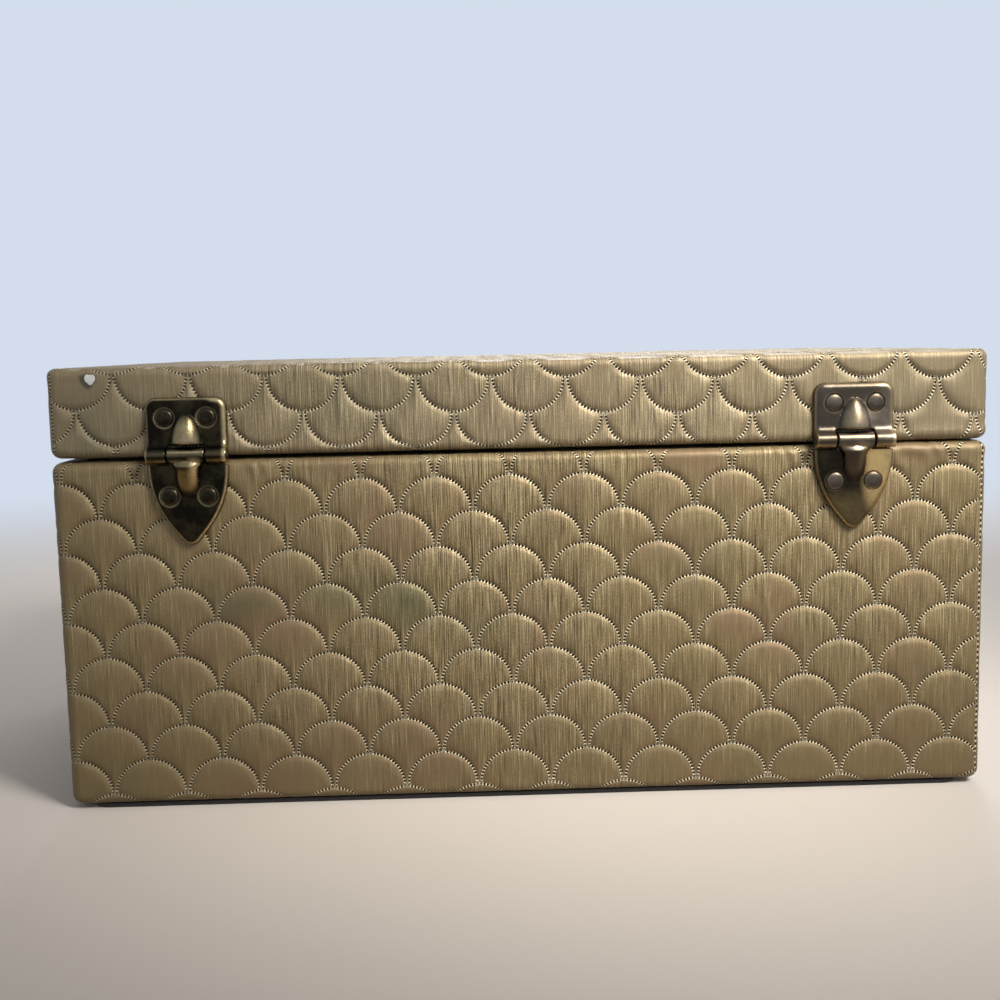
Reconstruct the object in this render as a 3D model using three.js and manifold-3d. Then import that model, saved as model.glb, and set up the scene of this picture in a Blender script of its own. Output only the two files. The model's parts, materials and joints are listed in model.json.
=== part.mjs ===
// Sewing box covered in padded gold vinyl that is welded into a scallop pattern.
// Millimetres, +Z up, +X along the hinge side, which faces -Y; the catch side faces +Y.
// The origin is the centre of the underside that the box stands on.
import * as THREE from 'three';
import { mergeVertices } from 'three/addons/utils/BufferGeometryUtils.js';
import Module from 'manifold-3d';

const wasm = await Module();
wasm.setup();

// Overall sizes, over the padding
const LENGTH = 363;
const DEPTH = 240;
const BODY_HEIGHT = 135.8;
const LID_HEIGHT = 34.8;
const RIM_GAP = 1.4;

// Boards and base
const WALL = 6;
const RABBET = 3;
const LID_PANEL = 4;
const FLOOR = 4;
const BASE_SHEET = 1.8;
const BASE_INSET = 8.5;
const BASE_CORNER = 5;

// Covering: padding over the boards, bare vinyl where it turns over a rim
const PADDING = 4;
const VINYL = 1;
const CORNER_RADIUS = 5;
const EDGE_ROUND = 3.5;
const LID_TOP_ROUND = 4.5;
const GROOVE = 1.9;
const SCALE_PITCH = 28.8;
const SCALE_ROW = 13.7;
const CROWN_RISE = 0.2;
const SCALE_PLATEAU = [[0.62, 0.2], [0, 0.72], [-0.62, 0.2], [0, -0.42]];
const BODY_APEX_X = -5.3;
const BODY_APEX_HEIGHT = 127.4;
const LID_APEX_X = 2.7;
const LID_APEX_HEIGHT = 14.4;
const ARC_STEPS = 4;

// Lining cards and tray
const LINING = 1;
const LINING_DROP = 2;
const LEDGE_WIDTH = 8;
const LEDGE_HEIGHT = 8;
const LEDGE_END = 18;
const TRAY_HEIGHT = 34;
const TRAY_DROP = 5;
const TRAY_WALL = 2;
const TRAY_CORNER = 8;
const TRAY_RIM_WIDTH = 3;
const TRAY_RIM_HEIGHT = 2.5;
const TRAY_SIDE_CLEARANCE = 1.5;
const TRAY_GRIP_RADIUS = 10;
const POCKET_CORNER = 5;
const REAR_POCKET_DEPTH = 72;
const MIDDLE_POCKET_DEPTH = 50;
const REAR_POCKETS = 3;
const FRONT_POCKETS = 4;

// Stop hinges
const HINGE_CENTRE = 128;
const HINGE_AXIS_RISE = 0.8;
const LEAF_WIDTH = 31;
const LEAF_HEIGHT = 2.4;
const LEAF_BEVEL = 1.1;
const SHEET = 0.9;
const UPPER_LEAF_TOP = 22;
const UPPER_LEAF_CORNER = 4.2;
const SHIELD_TIP = 34.6;
const KNUCKLE_RADIUS = 3.1;
const MIDDLE_KNUCKLE = 14.2;
const KNUCKLE_GAP = 0.4;
const PIN_RADIUS = 1.2;
const PIN_CLEARANCE = 0.25;
const NOSE_WIDTH = 11.6;
const NOSE_BOTTOM = 4.2;
const NOSE_TOP = 15.5;
const NOSE_HEIGHT = 4.6;
const NOSE_TAPER = 0.42;
const NOSE_BLUNTNESS = 5;
const RIDGE_WIDTH = 10.8;
const RIDGE_END = 15.4;
const RIDGE_HEIGHT = 4.1;
const RIDGE_TAPER = 0.2;
const RIDGE_BLUNTNESS = 6;
const SHIELD_SIDE = 0.4;
const SHIELD_CHEEK = 0.68;
const SHIELD_CHIN_WIDTH = 0.27;
const SHIELD_CHIN_DROP = 0.91;
const SHIELD_TIP_WIDTH = 0.14;

// Rivets
const RIVET_HEAD = 3.3;
const RIVET_DOME = 1.1;
const RIVET_SHANK = 1.4;
const RIVET_HOLE = 0.35;
const RIVET_SEAT = 0.35;
const RIVET_BITE = 4;
const UPPER_RIVET_SPREAD = 8;
const UPPER_RIVET_RISE = 14.3;
const LOWER_RIVET_SPREAD = 7.3;
const LOWER_RIVET_DROP = 15.8;

// Front catch
const CASE_HEIGHT = 5.2;
const CASE_TOP_DROP = 3;
const CASE_LENGTH = 31;
const CASE_RIVET_DROP = 19;
const TONGUE_WIDTH = 10;
const TONGUE_THICK = 1;
const TONGUE_REACH = 14;
const TONGUE_HEAD_WIDTH = 24;
const TONGUE_HEAD_HEIGHT = 9;
const NOTCH_DEPTH = 3.6;
const NOTCH_HEIGHT = 4.2;
const NOTCH_RISE = 4;
const BOLT_HEIGHT = 3.4;
const BOLT_THICK = 1.8;
const BOLT_LENGTH = 7;
const BOLT_TRAVEL = 3.5;
const BOLT_STANDOFF = 0.6;
const NECK_LENGTH = 3;
const NECK_HEIGHT = 2.4;
const BUTTON_LENGTH = 9;
const BUTTON_HEIGHT = 7;
const BUTTON_THICK = 2.2;
const BUTTON_RIBS = 4;
const BUTTON_RIB = 0.7;

// Clearances: glued faces, mitred seams, sliding fits, crowns below the outer faces
const GLUE = 0.2;
const SEAM = 0.3;
const SLIDE_FIT = 0.35;
const CROWN_EASE = 0.05;
const MITRE_MARGIN = 2;
const CUT_REACH = 40;

// Sides of round forms, and steps of rounded edges
const BARREL_SIDES = 18;
const BORE_SIDES = 16;
const FORM_SIDES = 14;
const FORM_STEPS = 5;
const SEAT_SIDES = 12;
const RIVET_SIDES = 10;
const RIVET_STEPS = 3;
const HOLE_SIDES = 8;
const GRIP_SIDES = 16;
const OUTLINE_STEPS = 5;
const PRISM_STEPS = 3;
const BEVEL_STEPS = 2;
const CORNER_STEPS = 2;
const EDGE_STEPS = 1;

// Places that follow from the sizes above
const halfLength = LENGTH / 2;
const halfDepth = DEPTH / 2;
const boardX = halfLength - PADDING - GLUE;
const boardY = halfDepth - PADDING - GLUE;
const innerX = boardX - WALL;
const innerY = boardY - WALL;
const liningX = innerX - GLUE - LINING;
const liningY = innerY - GLUE - LINING;
const bodyBottom = BASE_SHEET + GLUE;
const bodyTop = bodyBottom + BODY_HEIGHT;
const lidBottom = bodyTop + RIM_GAP;
const lidTop = lidBottom + LID_HEIGHT;
const wallBottom = bodyBottom + VINYL + GLUE;
const wallTop = bodyTop - VINYL - GLUE;
const floorTop = bodyBottom + FLOOR;
const floorLiningTop = floorTop + GLUE + LINING;
const lidPanelTop = lidTop - PADDING - GLUE;
const lidPanelBottom = lidPanelTop - LID_PANEL;
const railBottom = lidBottom + VINYL + GLUE;
const railTop = lidPanelBottom - GLUE;
const lidLiningBottom = lidPanelBottom - GLUE - LINING;
const trayTop = bodyTop - TRAY_DROP;
const trayBottom = trayTop - TRAY_HEIGHT;
const ledgeTop = trayBottom - SLIDE_FIT;
const hingeAxisY = -halfDepth - GLUE - KNUCKLE_RADIUS;
const hingeAxisZ = lidBottom + HINGE_AXIS_RISE;

// Finishes
const goldVinyl = { color: 0x9c8c62, roughness: 0.42, metalness: 0.45 };
const antiqueBrass = { color: 0x4a3f2e, roughness: 0.38, metalness: 0.9 };
const hingeSteel = { color: 0x6d675c, roughness: 0.45, metalness: 0.9 };
const plyBoard = { color: 0xb99b6b, roughness: 0.8, metalness: 0 };
const blackSheet = { color: 0x16140f, roughness: 0.75, metalness: 0 };
const ivoryLining = { color: 0xd9cba6, roughness: 0.6, metalness: 0 };
const ivoryPlastic = { color: 0xe2d8bd, roughness: 0.35, metalness: 0 };

// Booleans: a geometry becomes a solid, and a solid becomes a geometry again.
function solidOf(geometry) {
  const bare = new THREE.BufferGeometry();
  bare.setAttribute('position', geometry.getAttribute('position').clone());
  bare.setIndex(geometry.index);
  const merged = mergeVertices(bare, 1e-4);
  const corners = [];
  for (let i = 0; i < merged.index.count; i += 3) {
    const [a, b, c] = [0, 1, 2].map((k) => merged.index.getX(i + k));
    if (a !== b && b !== c && c !== a) corners.push(a, b, c);
  }
  return new wasm.Manifold(new wasm.Mesh({
    numProp: 3,
    vertProperties: new Float32Array(merged.attributes.position.array),
    triVerts: new Uint32Array(corners),
  }));
}

function geometryOf(solid) {
  const mesh = solid.getMesh();
  const geometry = new THREE.BufferGeometry();
  const points = new Float32Array(mesh.vertProperties);
  geometry.setAttribute('position', new THREE.BufferAttribute(points, 3));
  geometry.setIndex(new THREE.BufferAttribute(new Uint32Array(mesh.triVerts), 1));
  geometry.computeVertexNormals();
  return geometry;
}

// A box between two corners.
function block(x0, x1, y0, y1, z0, z1) {
  const geometry = new THREE.BoxGeometry(x1 - x0, y1 - y0, z1 - z0);
  return geometry.translate((x0 + x1) / 2, (y0 + y1) / 2, (z0 + z1) / 2);
}

function blockSolid(...sides) {
  return solidOf(block(...sides));
}

// A box centred on the Z axis.
function centredBlock(halfX, halfY, z0, z1) {
  return blockSolid(-halfX, halfX, -halfY, halfY, z0, z1);
}

function roundedRectangle(halfX, halfY, radius) {
  const shape = new THREE.Shape();
  shape.moveTo(-halfX + radius, -halfY);
  shape.lineTo(halfX - radius, -halfY);
  shape.absarc(halfX - radius, -halfY + radius, radius, -Math.PI / 2, 0);
  shape.lineTo(halfX, halfY - radius);
  shape.absarc(halfX - radius, halfY - radius, radius, 0, Math.PI / 2);
  shape.lineTo(-halfX + radius, halfY);
  shape.absarc(-halfX + radius, halfY - radius, radius, Math.PI / 2, Math.PI);
  shape.lineTo(-halfX, -halfY + radius);
  shape.absarc(-halfX + radius, -halfY + radius, radius, Math.PI, 1.5 * Math.PI);
  return shape;
}

function prism(shape, z0, z1) {
  const options = { depth: z1 - z0, bevelEnabled: false, curveSegments: PRISM_STEPS };
  const geometry = new THREE.ExtrudeGeometry(shape, options);
  return solidOf(geometry.translate(0, 0, z0));
}

// A cylinder along Y, for rivets and their holes.
function rodAlongY(radius, y0, y1, sides, x, z) {
  const geometry = new THREE.CylinderGeometry(radius, radius, y1 - y0, sides);
  return solidOf(geometry.translate(x, (y0 + y1) / 2, z));
}

// A cylinder along X, for the hinge barrel.
function rodAlongX(radius, x0, x1, sides) {
  const geometry = new THREE.CylinderGeometry(radius, radius, x1 - x0, sides);
  return solidOf(geometry.rotateZ(Math.PI / 2).translate((x0 + x1) / 2, 0, 0));
}

const sewingBox = new THREE.Group();

function addPiece(group, name, geometry, finish) {
  const mesh = new THREE.Mesh(geometry, new THREE.MeshStandardMaterial(finish));
  mesh.name = name;
  group.add(mesh);
  return mesh;
}

// Covering

// A block with rounded upright corners, and rounded edges round its bottom and its top, as stacked rings.
function paddedBlock(halfX, halfY, z0, z1, bottomRound, topRound) {
  const rings = [];
  for (let i = 0; i <= EDGE_STEPS; i += 1) {
    const turn = (i / EDGE_STEPS) * (Math.PI / 2);
    rings.push({ inset: bottomRound * (1 - Math.sin(turn)), z: z0 + bottomRound * (1 - Math.cos(turn)) });
  }
  for (let i = EDGE_STEPS; i >= 0; i -= 1) {
    const turn = (i / EDGE_STEPS) * (Math.PI / 2);
    rings.push({ inset: topRound * (1 - Math.sin(turn)), z: z1 - topRound * (1 - Math.cos(turn)) });
  }
  const quarters = [[1, -1], [1, 1], [-1, 1], [-1, -1]];
  const points = [];
  const around = quarters.length * (CORNER_STEPS + 1);
  for (const { inset, z } of rings) {
    const radius = CORNER_RADIUS - inset;
    quarters.forEach(([signX, signY], quarter) => {
      for (let i = 0; i <= CORNER_STEPS; i += 1) {
        const angle = (quarter - 1 + i / CORNER_STEPS) * (Math.PI / 2);
        const x = signX * (halfX - CORNER_RADIUS) + radius * Math.cos(angle);
        const y = signY * (halfY - CORNER_RADIUS) + radius * Math.sin(angle);
        points.push(x, y, z);
      }
    });
  }
  const faces = [];
  for (let ring = 0; ring < rings.length - 1; ring += 1) {
    for (let i = 0; i < around; i += 1) {
      const a = ring * around + i;
      const b = ring * around + ((i + 1) % around);
      faces.push(a, b, b + around, a, b + around, a + around);
    }
  }
  const last = (rings.length - 1) * around;
  for (let i = 1; i < around - 1; i += 1) {
    faces.push(0, i + 1, i, last, last + i, last + i + 1);
  }
  const geometry = new THREE.BufferGeometry();
  geometry.setAttribute('position', new THREE.Float32BufferAttribute(points, 3));
  geometry.setIndex(faces);
  return solidOf(geometry);
}

// A slab whose face is puffed into scallops, in the panel's own axes: u along the rows, v towards the tips.
// Each scale is bounded by its own arc and by the arcs of the two scales below it. It rises to one crown,
// or, on a channelled panel, to a flat-topped puff with narrow channels round it.
function scallopSlab(panel) {
  const halfPitch = SCALE_PITCH / 2;
  const points = [];
  const index = new Map();
  const faces = [];
  const pointAt = (u, v, w) => {
    const key = `${Math.round(u * 1000)},${Math.round(v * 1000)}`;
    if (!index.has(key)) {
      index.set(key, points.length / 3);
      points.push(u, v, w);
    }
    return index.get(key);
  };
  const arc = (centreU, centreV, from, to, steps) => Array.from({ length: steps }, (_, i) => {
    const angle = THREE.MathUtils.lerp(from, to, i / steps);
    return [centreU + halfPitch * Math.cos(angle), centreV + SCALE_ROW * Math.sin(angle)];
  });
  const firstRow = Math.floor((panel.lowV - panel.apexV) / SCALE_ROW) - 1;
  const lastRow = Math.ceil((panel.highV - panel.apexV) / SCALE_ROW) + 2;
  for (let row = firstRow; row <= lastRow; row += 1) {
    const shift = row % 2 === 0 ? 0 : halfPitch;
    const centreV = panel.apexV + (row - 1) * SCALE_ROW;
    const firstColumn = Math.floor((panel.lowU - panel.apexU) / SCALE_PITCH) - 1;
    const lastColumn = Math.ceil((panel.highU - panel.apexU) / SCALE_PITCH) + 1;
    for (let column = firstColumn; column <= lastColumn; column += 1) {
      const centreU = panel.apexU + shift + column * SCALE_PITCH;
      const rim = [
        ...arc(centreU, centreV, 0, Math.PI, ARC_STEPS),
        ...arc(centreU - halfPitch, centreV - SCALE_ROW, Math.PI / 2, 0, ARC_STEPS / 2),
        ...arc(centreU + halfPitch, centreV - SCALE_ROW, Math.PI, Math.PI / 2, ARC_STEPS / 2),
      ].map(([u, v]) => pointAt(u, v, panel.face - GROOVE));
      const top = panel.face - CROWN_EASE;
      const raised = (u, v) => pointAt(centreU + u * halfPitch, centreV + v * SCALE_ROW, top);
      if (panel.channelled) {
        const crown = SCALE_PLATEAU.map(([u, v]) => raised(u, v));
        rim.forEach((corner, i) => {
          const next = (i + 1) % rim.length;
          const nearest = Math.floor(next / 2);
          faces.push(corner, rim[next], crown[nearest]);
          if (next % 2 === 1) faces.push(rim[next], crown[(nearest + 1) % crown.length], crown[nearest]);
        });
        faces.push(crown[0], crown[1], crown[2], crown[0], crown[2], crown[3]);
      } else {
        const crown = raised(0, CROWN_RISE);
        rim.forEach((corner, i) => faces.push(corner, rim[(i + 1) % rim.length], crown));
      }
    }
  }
  const count = points.length / 3;
  const under = panel.face - CUT_REACH;
  for (let i = 0; i < count; i += 1) points.push(points[3 * i], points[3 * i + 1], under);
  const edges = new Set();
  for (let i = 0; i < faces.length; i += 3) {
    for (const [a, b] of [[0, 1], [1, 2], [2, 0]]) edges.add(`${faces[i + a]},${faces[i + b]}`);
  }
  const upper = faces.slice();
  for (let i = 0; i < upper.length; i += 3) {
    faces.push(upper[i] + count, upper[i + 2] + count, upper[i + 1] + count);
  }
  for (const edge of edges) {
    const [a, b] = edge.split(',').map(Number);
    if (!edges.has(`${b},${a}`)) faces.push(b, a, a + count, b, a + count, b + count);
  }
  const geometry = new THREE.BufferGeometry();
  geometry.setAttribute('position', new THREE.Float32BufferAttribute(points, 3));
  geometry.setIndex(faces);
  const across = new THREE.Vector3(...panel.along);
  const upward = new THREE.Vector3(...panel.towardsTips);
  const outward = new THREE.Vector3().crossVectors(across, upward);
  return solidOf(geometry.applyMatrix4(new THREE.Matrix4().makeBasis(across, upward, outward)));
}

// The block of space that belongs to one face of a covered box, mitred at 45 degrees to its neighbours.
function mitreWedge(low, high, axis, side) {
  const depth = PADDING + WALL + 2 * GLUE + MITRE_MARGIN;
  const ease = SEAM / Math.SQRT2;
  const geometry = new THREE.BoxGeometry(2, 2, 2);
  const position = geometry.getAttribute('position');
  for (let i = 0; i < position.count; i += 1) {
    const unit = [position.getX(i), position.getY(i), position.getZ(i)];
    const outer = unit[axis] === side;
    const reach = outer ? CUT_REACH : -depth;
    const place = unit.map((sign, k) => {
      if (k === axis) return (side > 0 ? high[k] : low[k]) + side * reach;
      return sign > 0 ? high[k] + reach - ease : low[k] - reach + ease;
    });
    position.setXYZ(i, ...place);
  }
  return solidOf(geometry);
}

// The faces of a covering: which way each one looks, and which way its scallops point.
const rearFace = { axis: 1, side: -1, along: [1, 0, 0], towardsTips: [0, 0, 1] };
const frontFace = { axis: 1, side: 1, along: [-1, 0, 0], towardsTips: [0, 0, 1] };
const leftFace = { axis: 0, side: -1 };
const rightFace = { axis: 0, side: 1 };
const lidRearFace = { axis: 1, side: -1, along: [-1, 0, 0], towardsTips: [0, 0, -1] };
const topFace = { axis: 2, side: 1, along: [-1, 0, 0], towardsTips: [0, -1, 0] };

// One panel of a covering, cut from its shell and puffed into scallops.
function scallopPanel(shell, low, high, face, apexU, apexV, channelled) {
  const spans = [face.along, face.towardsTips].map((direction) => {
    const k = direction.findIndex((value) => value !== 0);
    const ends = [low[k] * direction[k], high[k] * direction[k]];
    return [Math.min(...ends), Math.max(...ends)];
  });
  const slab = scallopSlab({
    ...face,
    apexU,
    apexV,
    channelled,
    face: face.side > 0 ? high[face.axis] : -low[face.axis],
    lowU: spans[0][0],
    highU: spans[0][1],
    lowV: spans[1][0],
    highV: spans[1][1],
  });
  return shell.intersect(mitreWedge(low, high, face.axis, face.side)).intersect(slab);
}

const pocketX = halfLength - PADDING;
const pocketY = halfDepth - PADDING;
const bodyShell = paddedBlock(halfLength, halfDepth, bodyBottom, bodyTop, EDGE_ROUND, EDGE_ROUND)
  .subtract(centredBlock(pocketX, pocketY, bodyBottom + VINYL, bodyTop - VINYL))
  .subtract(centredBlock(innerX, innerY, bodyBottom - CUT_REACH, bodyTop + CUT_REACH));
const lidShell = paddedBlock(halfLength, halfDepth, lidBottom, lidTop, EDGE_ROUND, LID_TOP_ROUND)
  .subtract(centredBlock(pocketX, pocketY, lidBottom + VINYL, lidTop - PADDING))
  .subtract(centredBlock(innerX, innerY, lidBottom - CUT_REACH, lidTop - PADDING));

const bodyLow = [-halfLength, -halfDepth, bodyBottom - CUT_REACH];
const bodyHigh = [halfLength, halfDepth, bodyTop + CUT_REACH];
const lidLow = [-halfLength, -halfDepth, lidBottom - CUT_REACH];
const lidHigh = [halfLength, halfDepth, lidTop];
const bodyApexZ = bodyBottom + BODY_APEX_HEIGHT;
const lidApexZ = lidBottom + LID_APEX_HEIGHT;

// Rivets, and the holes that they pass through

const rivetPlaces = [];

function rivetGeometry(headY, tailY) {
  const underHead = headY - GLUE;
  const profile = [new THREE.Vector2(0, -tailY), new THREE.Vector2(RIVET_SHANK, -tailY)];
  profile.push(new THREE.Vector2(RIVET_SHANK, -underHead));
  for (let i = 0; i <= RIVET_STEPS; i += 1) {
    const angle = (i / RIVET_STEPS) * (Math.PI / 2);
    const rise = RIVET_DOME * Math.sin(angle);
    profile.push(new THREE.Vector2(RIVET_HEAD * Math.cos(angle), rise - underHead));
  }
  profile[profile.length - 1].x = 0;
  return geometryOf(solidOf(new THREE.LatheGeometry(profile, RIVET_SIDES).rotateX(Math.PI)));
}

function rivetHole(x, z, y0, y1) {
  return rodAlongY(RIVET_SHANK + RIVET_HOLE, y0, y1, HOLE_SIDES, x, z);
}

// Stamped plates, made in the hinge's own axes: the pin is the origin and the box wall lies towards +Y.

const plateBack = KNUCKLE_RADIUS;
const behindPlates = blockSolid(-CUT_REACH, CUT_REACH, plateBack, plateBack + CUT_REACH,
  -2 * CUT_REACH, CUT_REACH);
const plateFront = plateBack - LEAF_HEIGHT;
const wallY = plateBack + GLUE;
const rivetTail = wallY + PADDING + GLUE + RIVET_BITE;

// A dished sheet-metal plate with a turned-down edge, open at the back.
function stampedPlate(shape, height) {
  const pressed = (offset, top, bevelSegments) => {
    const geometry = new THREE.ExtrudeGeometry(shape, {
      depth: top - LEAF_BEVEL,
      bevelThickness: LEAF_BEVEL,
      bevelSize: LEAF_BEVEL,
      bevelOffset: -LEAF_BEVEL - offset,
      bevelSegments,
      curveSegments: OUTLINE_STEPS,
    });
    return solidOf(geometry.rotateX(Math.PI / 2).translate(0, plateBack, 0));
  };
  const outer = pressed(0, height, BEVEL_STEPS).subtract(behindPlates);
  return { outer, hollow: pressed(SHEET, height - SHEET, 1) };
}

// A raised nose or ridge on a plate: half of a tapering round form, open at one end and closed at the other.
function raisedForm(width, from, to, height, taper, bluntness) {
  const profile = [new THREE.Vector2(0, 0)];
  for (let i = 0; i <= FORM_STEPS; i += 1) {
    const t = Math.sin((i / FORM_STEPS) * (Math.PI / 2));
    const radius = (width / 2) * (1 - taper * t) * Math.sqrt(1 - t ** bluntness);
    profile.push(new THREE.Vector2(i === FORM_STEPS ? 0 : radius, t * Math.abs(to - from)));
  }
  const geometry = new THREE.LatheGeometry(profile, FORM_SIDES).rotateX(Math.PI / 2);
  geometry.scale(1, height / (width / 2), 1);
  if (to < from) geometry.rotateY(Math.PI);
  return solidOf(geometry.translate(0, plateFront, from));
}

function seatRivets(plate, places, front) {
  const radius = RIVET_HEAD + RIVET_HOLE;
  const floor = front + RIVET_SEAT;
  return places.reduce((cut, [x, z]) => cut
    .subtract(rivetHole(x, z, -CUT_REACH, CUT_REACH))
    .subtract(rodAlongY(radius, front - CUT_REACH, floor, SEAT_SIDES, x, z)), plate);
}

function pairAt(spread, z) {
  return [[-spread, z], [spread, z]];
}

const upperRivets = pairAt(UPPER_RIVET_SPREAD, UPPER_RIVET_RISE);
const lowerRivets = pairAt(LOWER_RIVET_SPREAD, -LOWER_RIVET_DROP);
const barrelBore = rodAlongX(PIN_RADIUS + PIN_CLEARANCE, -LEAF_WIDTH, LEAF_WIDTH, BORE_SIDES);
const middleHalf = MIDDLE_KNUCKLE / 2;
const outerStart = middleHalf + KNUCKLE_GAP;
const leafHalf = LEAF_WIDTH / 2;
const barrelClear = KNUCKLE_RADIUS + 2 * KNUCKLE_GAP;

function upperLeafSolid() {
  const shape = new THREE.Shape();
  const shoulder = UPPER_LEAF_TOP - UPPER_LEAF_CORNER;
  shape.moveTo(-leafHalf, 0);
  shape.lineTo(-outerStart, 0);
  shape.lineTo(-outerStart, barrelClear);
  shape.lineTo(outerStart, barrelClear);
  shape.lineTo(outerStart, 0);
  shape.lineTo(leafHalf, 0);
  shape.lineTo(leafHalf, shoulder);
  shape.absarc(leafHalf - UPPER_LEAF_CORNER, shoulder, UPPER_LEAF_CORNER, 0, Math.PI / 2);
  shape.absarc(-leafHalf + UPPER_LEAF_CORNER, shoulder, UPPER_LEAF_CORNER, Math.PI / 2, Math.PI);
  const plate = stampedPlate(shape, LEAF_HEIGHT);
  const nose = raisedForm(NOSE_WIDTH, NOSE_BOTTOM, NOSE_TOP, NOSE_HEIGHT, NOSE_TAPER, NOSE_BLUNTNESS);
  const inside = raisedForm(NOSE_WIDTH - 2 * SHEET, NOSE_BOTTOM + SHEET, NOSE_TOP - SHEET,
    NOSE_HEIGHT - SHEET, NOSE_TAPER, NOSE_BLUNTNESS);
  const knuckles = [-1, 1].map((side) => {
    const ends = [side * outerStart, side * leafHalf];
    return rodAlongX(KNUCKLE_RADIUS, Math.min(...ends), Math.max(...ends), BARREL_SIDES);
  });
  const leaf = plate.outer.add(nose.subtract(behindPlates)).subtract(plate.hollow).subtract(inside)
    .add(knuckles[0]).add(knuckles[1]).subtract(barrelBore);
  return seatRivets(leaf, upperRivets, plateFront);
}

// The shield outline of the lower leaf and of the catch case, from its top edge down to its rounded point.
function shieldShape(top, tip, tab) {
  const shape = new THREE.Shape();
  const drop = tip - top;
  const side = top + SHIELD_SIDE * drop;
  const cheekX = SHIELD_CHEEK * leafHalf;
  const cheek = top + SHIELD_CHEEK * drop;
  const chinX = SHIELD_CHIN_WIDTH * leafHalf;
  const chin = top + SHIELD_CHIN_DROP * drop;
  const tipX = SHIELD_TIP_WIDTH * leafHalf;
  shape.moveTo(-leafHalf, top);
  shape.bezierCurveTo(-leafHalf, side, -cheekX, cheek, -chinX, chin);
  shape.quadraticCurveTo(-tipX, tip, 0, tip);
  shape.quadraticCurveTo(tipX, tip, chinX, chin);
  shape.bezierCurveTo(cheekX, cheek, leafHalf, side, leafHalf, top);
  if (tab) {
    shape.lineTo(middleHalf, top);
    shape.lineTo(middleHalf, 0);
    shape.lineTo(-middleHalf, 0);
    shape.lineTo(-middleHalf, top);
  }
  return shape;
}

function lowerLeafSolid() {
  const plate = stampedPlate(shieldShape(-barrelClear, -SHIELD_TIP, true), LEAF_HEIGHT);
  const ridge = raisedForm(RIDGE_WIDTH, -KNUCKLE_RADIUS / 2, -RIDGE_END,
    RIDGE_HEIGHT, RIDGE_TAPER, RIDGE_BLUNTNESS);
  const inside = raisedForm(RIDGE_WIDTH - 2 * SHEET, -KNUCKLE_RADIUS, -RIDGE_END + SHEET,
    RIDGE_HEIGHT - SHEET, RIDGE_TAPER, RIDGE_BLUNTNESS);
  const leaf = plate.outer.add(ridge.subtract(behindPlates)).subtract(plate.hollow).subtract(inside)
    .add(rodAlongX(KNUCKLE_RADIUS, -middleHalf, middleHalf, BARREL_SIDES)).subtract(barrelBore);
  return seatRivets(leaf, lowerRivets, plateFront);
}

// Adds the rivets of one plate, and notes where they go through the covering and the board.
function addRivets(group, prefix, places, front, wall, turn, centreX, centreZ) {
  places.forEach(([x, z], i) => {
    addPiece(group, `${prefix}_rivet_${i + 1}`, rivetGeometry(front + RIVET_SEAT, rivetTail), antiqueBrass)
      .position.set(x, 0, z);
    rivetPlaces.push({ wall, x: centreX + turn * x, z: centreZ + z });
  });
}

for (const [side, centreX] of [['left', -HINGE_CENTRE], ['right', HINGE_CENTRE]]) {
  const hinge = new THREE.Group();
  hinge.position.set(centreX, hingeAxisY, hingeAxisZ);
  sewingBox.add(hinge);
  addPiece(hinge, `${side}_hinge_upper_leaf`, geometryOf(upperLeafSolid()), antiqueBrass);
  addPiece(hinge, `${side}_hinge_lower_leaf`, geometryOf(lowerLeafSolid()), antiqueBrass);
  const pin = rodAlongX(PIN_RADIUS, -leafHalf, leafHalf, BORE_SIDES);
  addPiece(hinge, `${side}_hinge_pin`, geometryOf(pin), hingeSteel);
  addRivets(hinge, `${side}_hinge_upper`, upperRivets, plateFront, 'lidRear', 1, centreX, hingeAxisZ);
  addRivets(hinge, `${side}_hinge_lower`, lowerRivets, plateFront, 'bodyRear', 1, centreX, hingeAxisZ);
}

// Front catch, in the same plate axes turned half round: the origin is level with the hinge pins.

const caseTop = bodyTop - CASE_TOP_DROP - hingeAxisZ;
const caseFront = plateBack - CASE_HEIGHT;
const tongueEnd = caseTop - TONGUE_REACH;
const notchBottom = tongueEnd + NOTCH_RISE;
const boltMiddle = notchBottom + NOTCH_HEIGHT / 2;
const boltTip = -TONGUE_WIDTH / 2 - BOLT_STANDOFF;
const boltBack = plateBack - GLUE;
const neckMiddle = boltTip - BOLT_LENGTH / 2;
const caseRivets = pairAt(LOWER_RIVET_SPREAD, caseTop - CASE_RIVET_DROP);
const plateBottom = lidBottom + EDGE_ROUND - hingeAxisZ;
const tongueBack = plateBack - GLUE;
const tongueFront = tongueBack - TONGUE_THICK;

function catchPlateSolid() {
  const halfHeight = (UPPER_LEAF_TOP - plateBottom) / 2;
  const plate = stampedPlate(roundedRectangle(leafHalf, halfHeight, UPPER_LEAF_CORNER), LEAF_HEIGHT);
  const middle = (UPPER_LEAF_TOP + plateBottom) / 2;
  const mouthHalf = TONGUE_WIDTH / 2 + SLIDE_FIT;
  const mouth = blockSolid(-mouthHalf, mouthHalf, tongueFront - SLIDE_FIT, plateBack + CUT_REACH,
    plateBottom - CUT_REACH, plateBottom + LEAF_BEVEL + SHEET);
  const dished = plate.outer.subtract(plate.hollow).translate([0, 0, middle]);
  return seatRivets(dished.subtract(mouth), upperRivets, plateFront);
}

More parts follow.
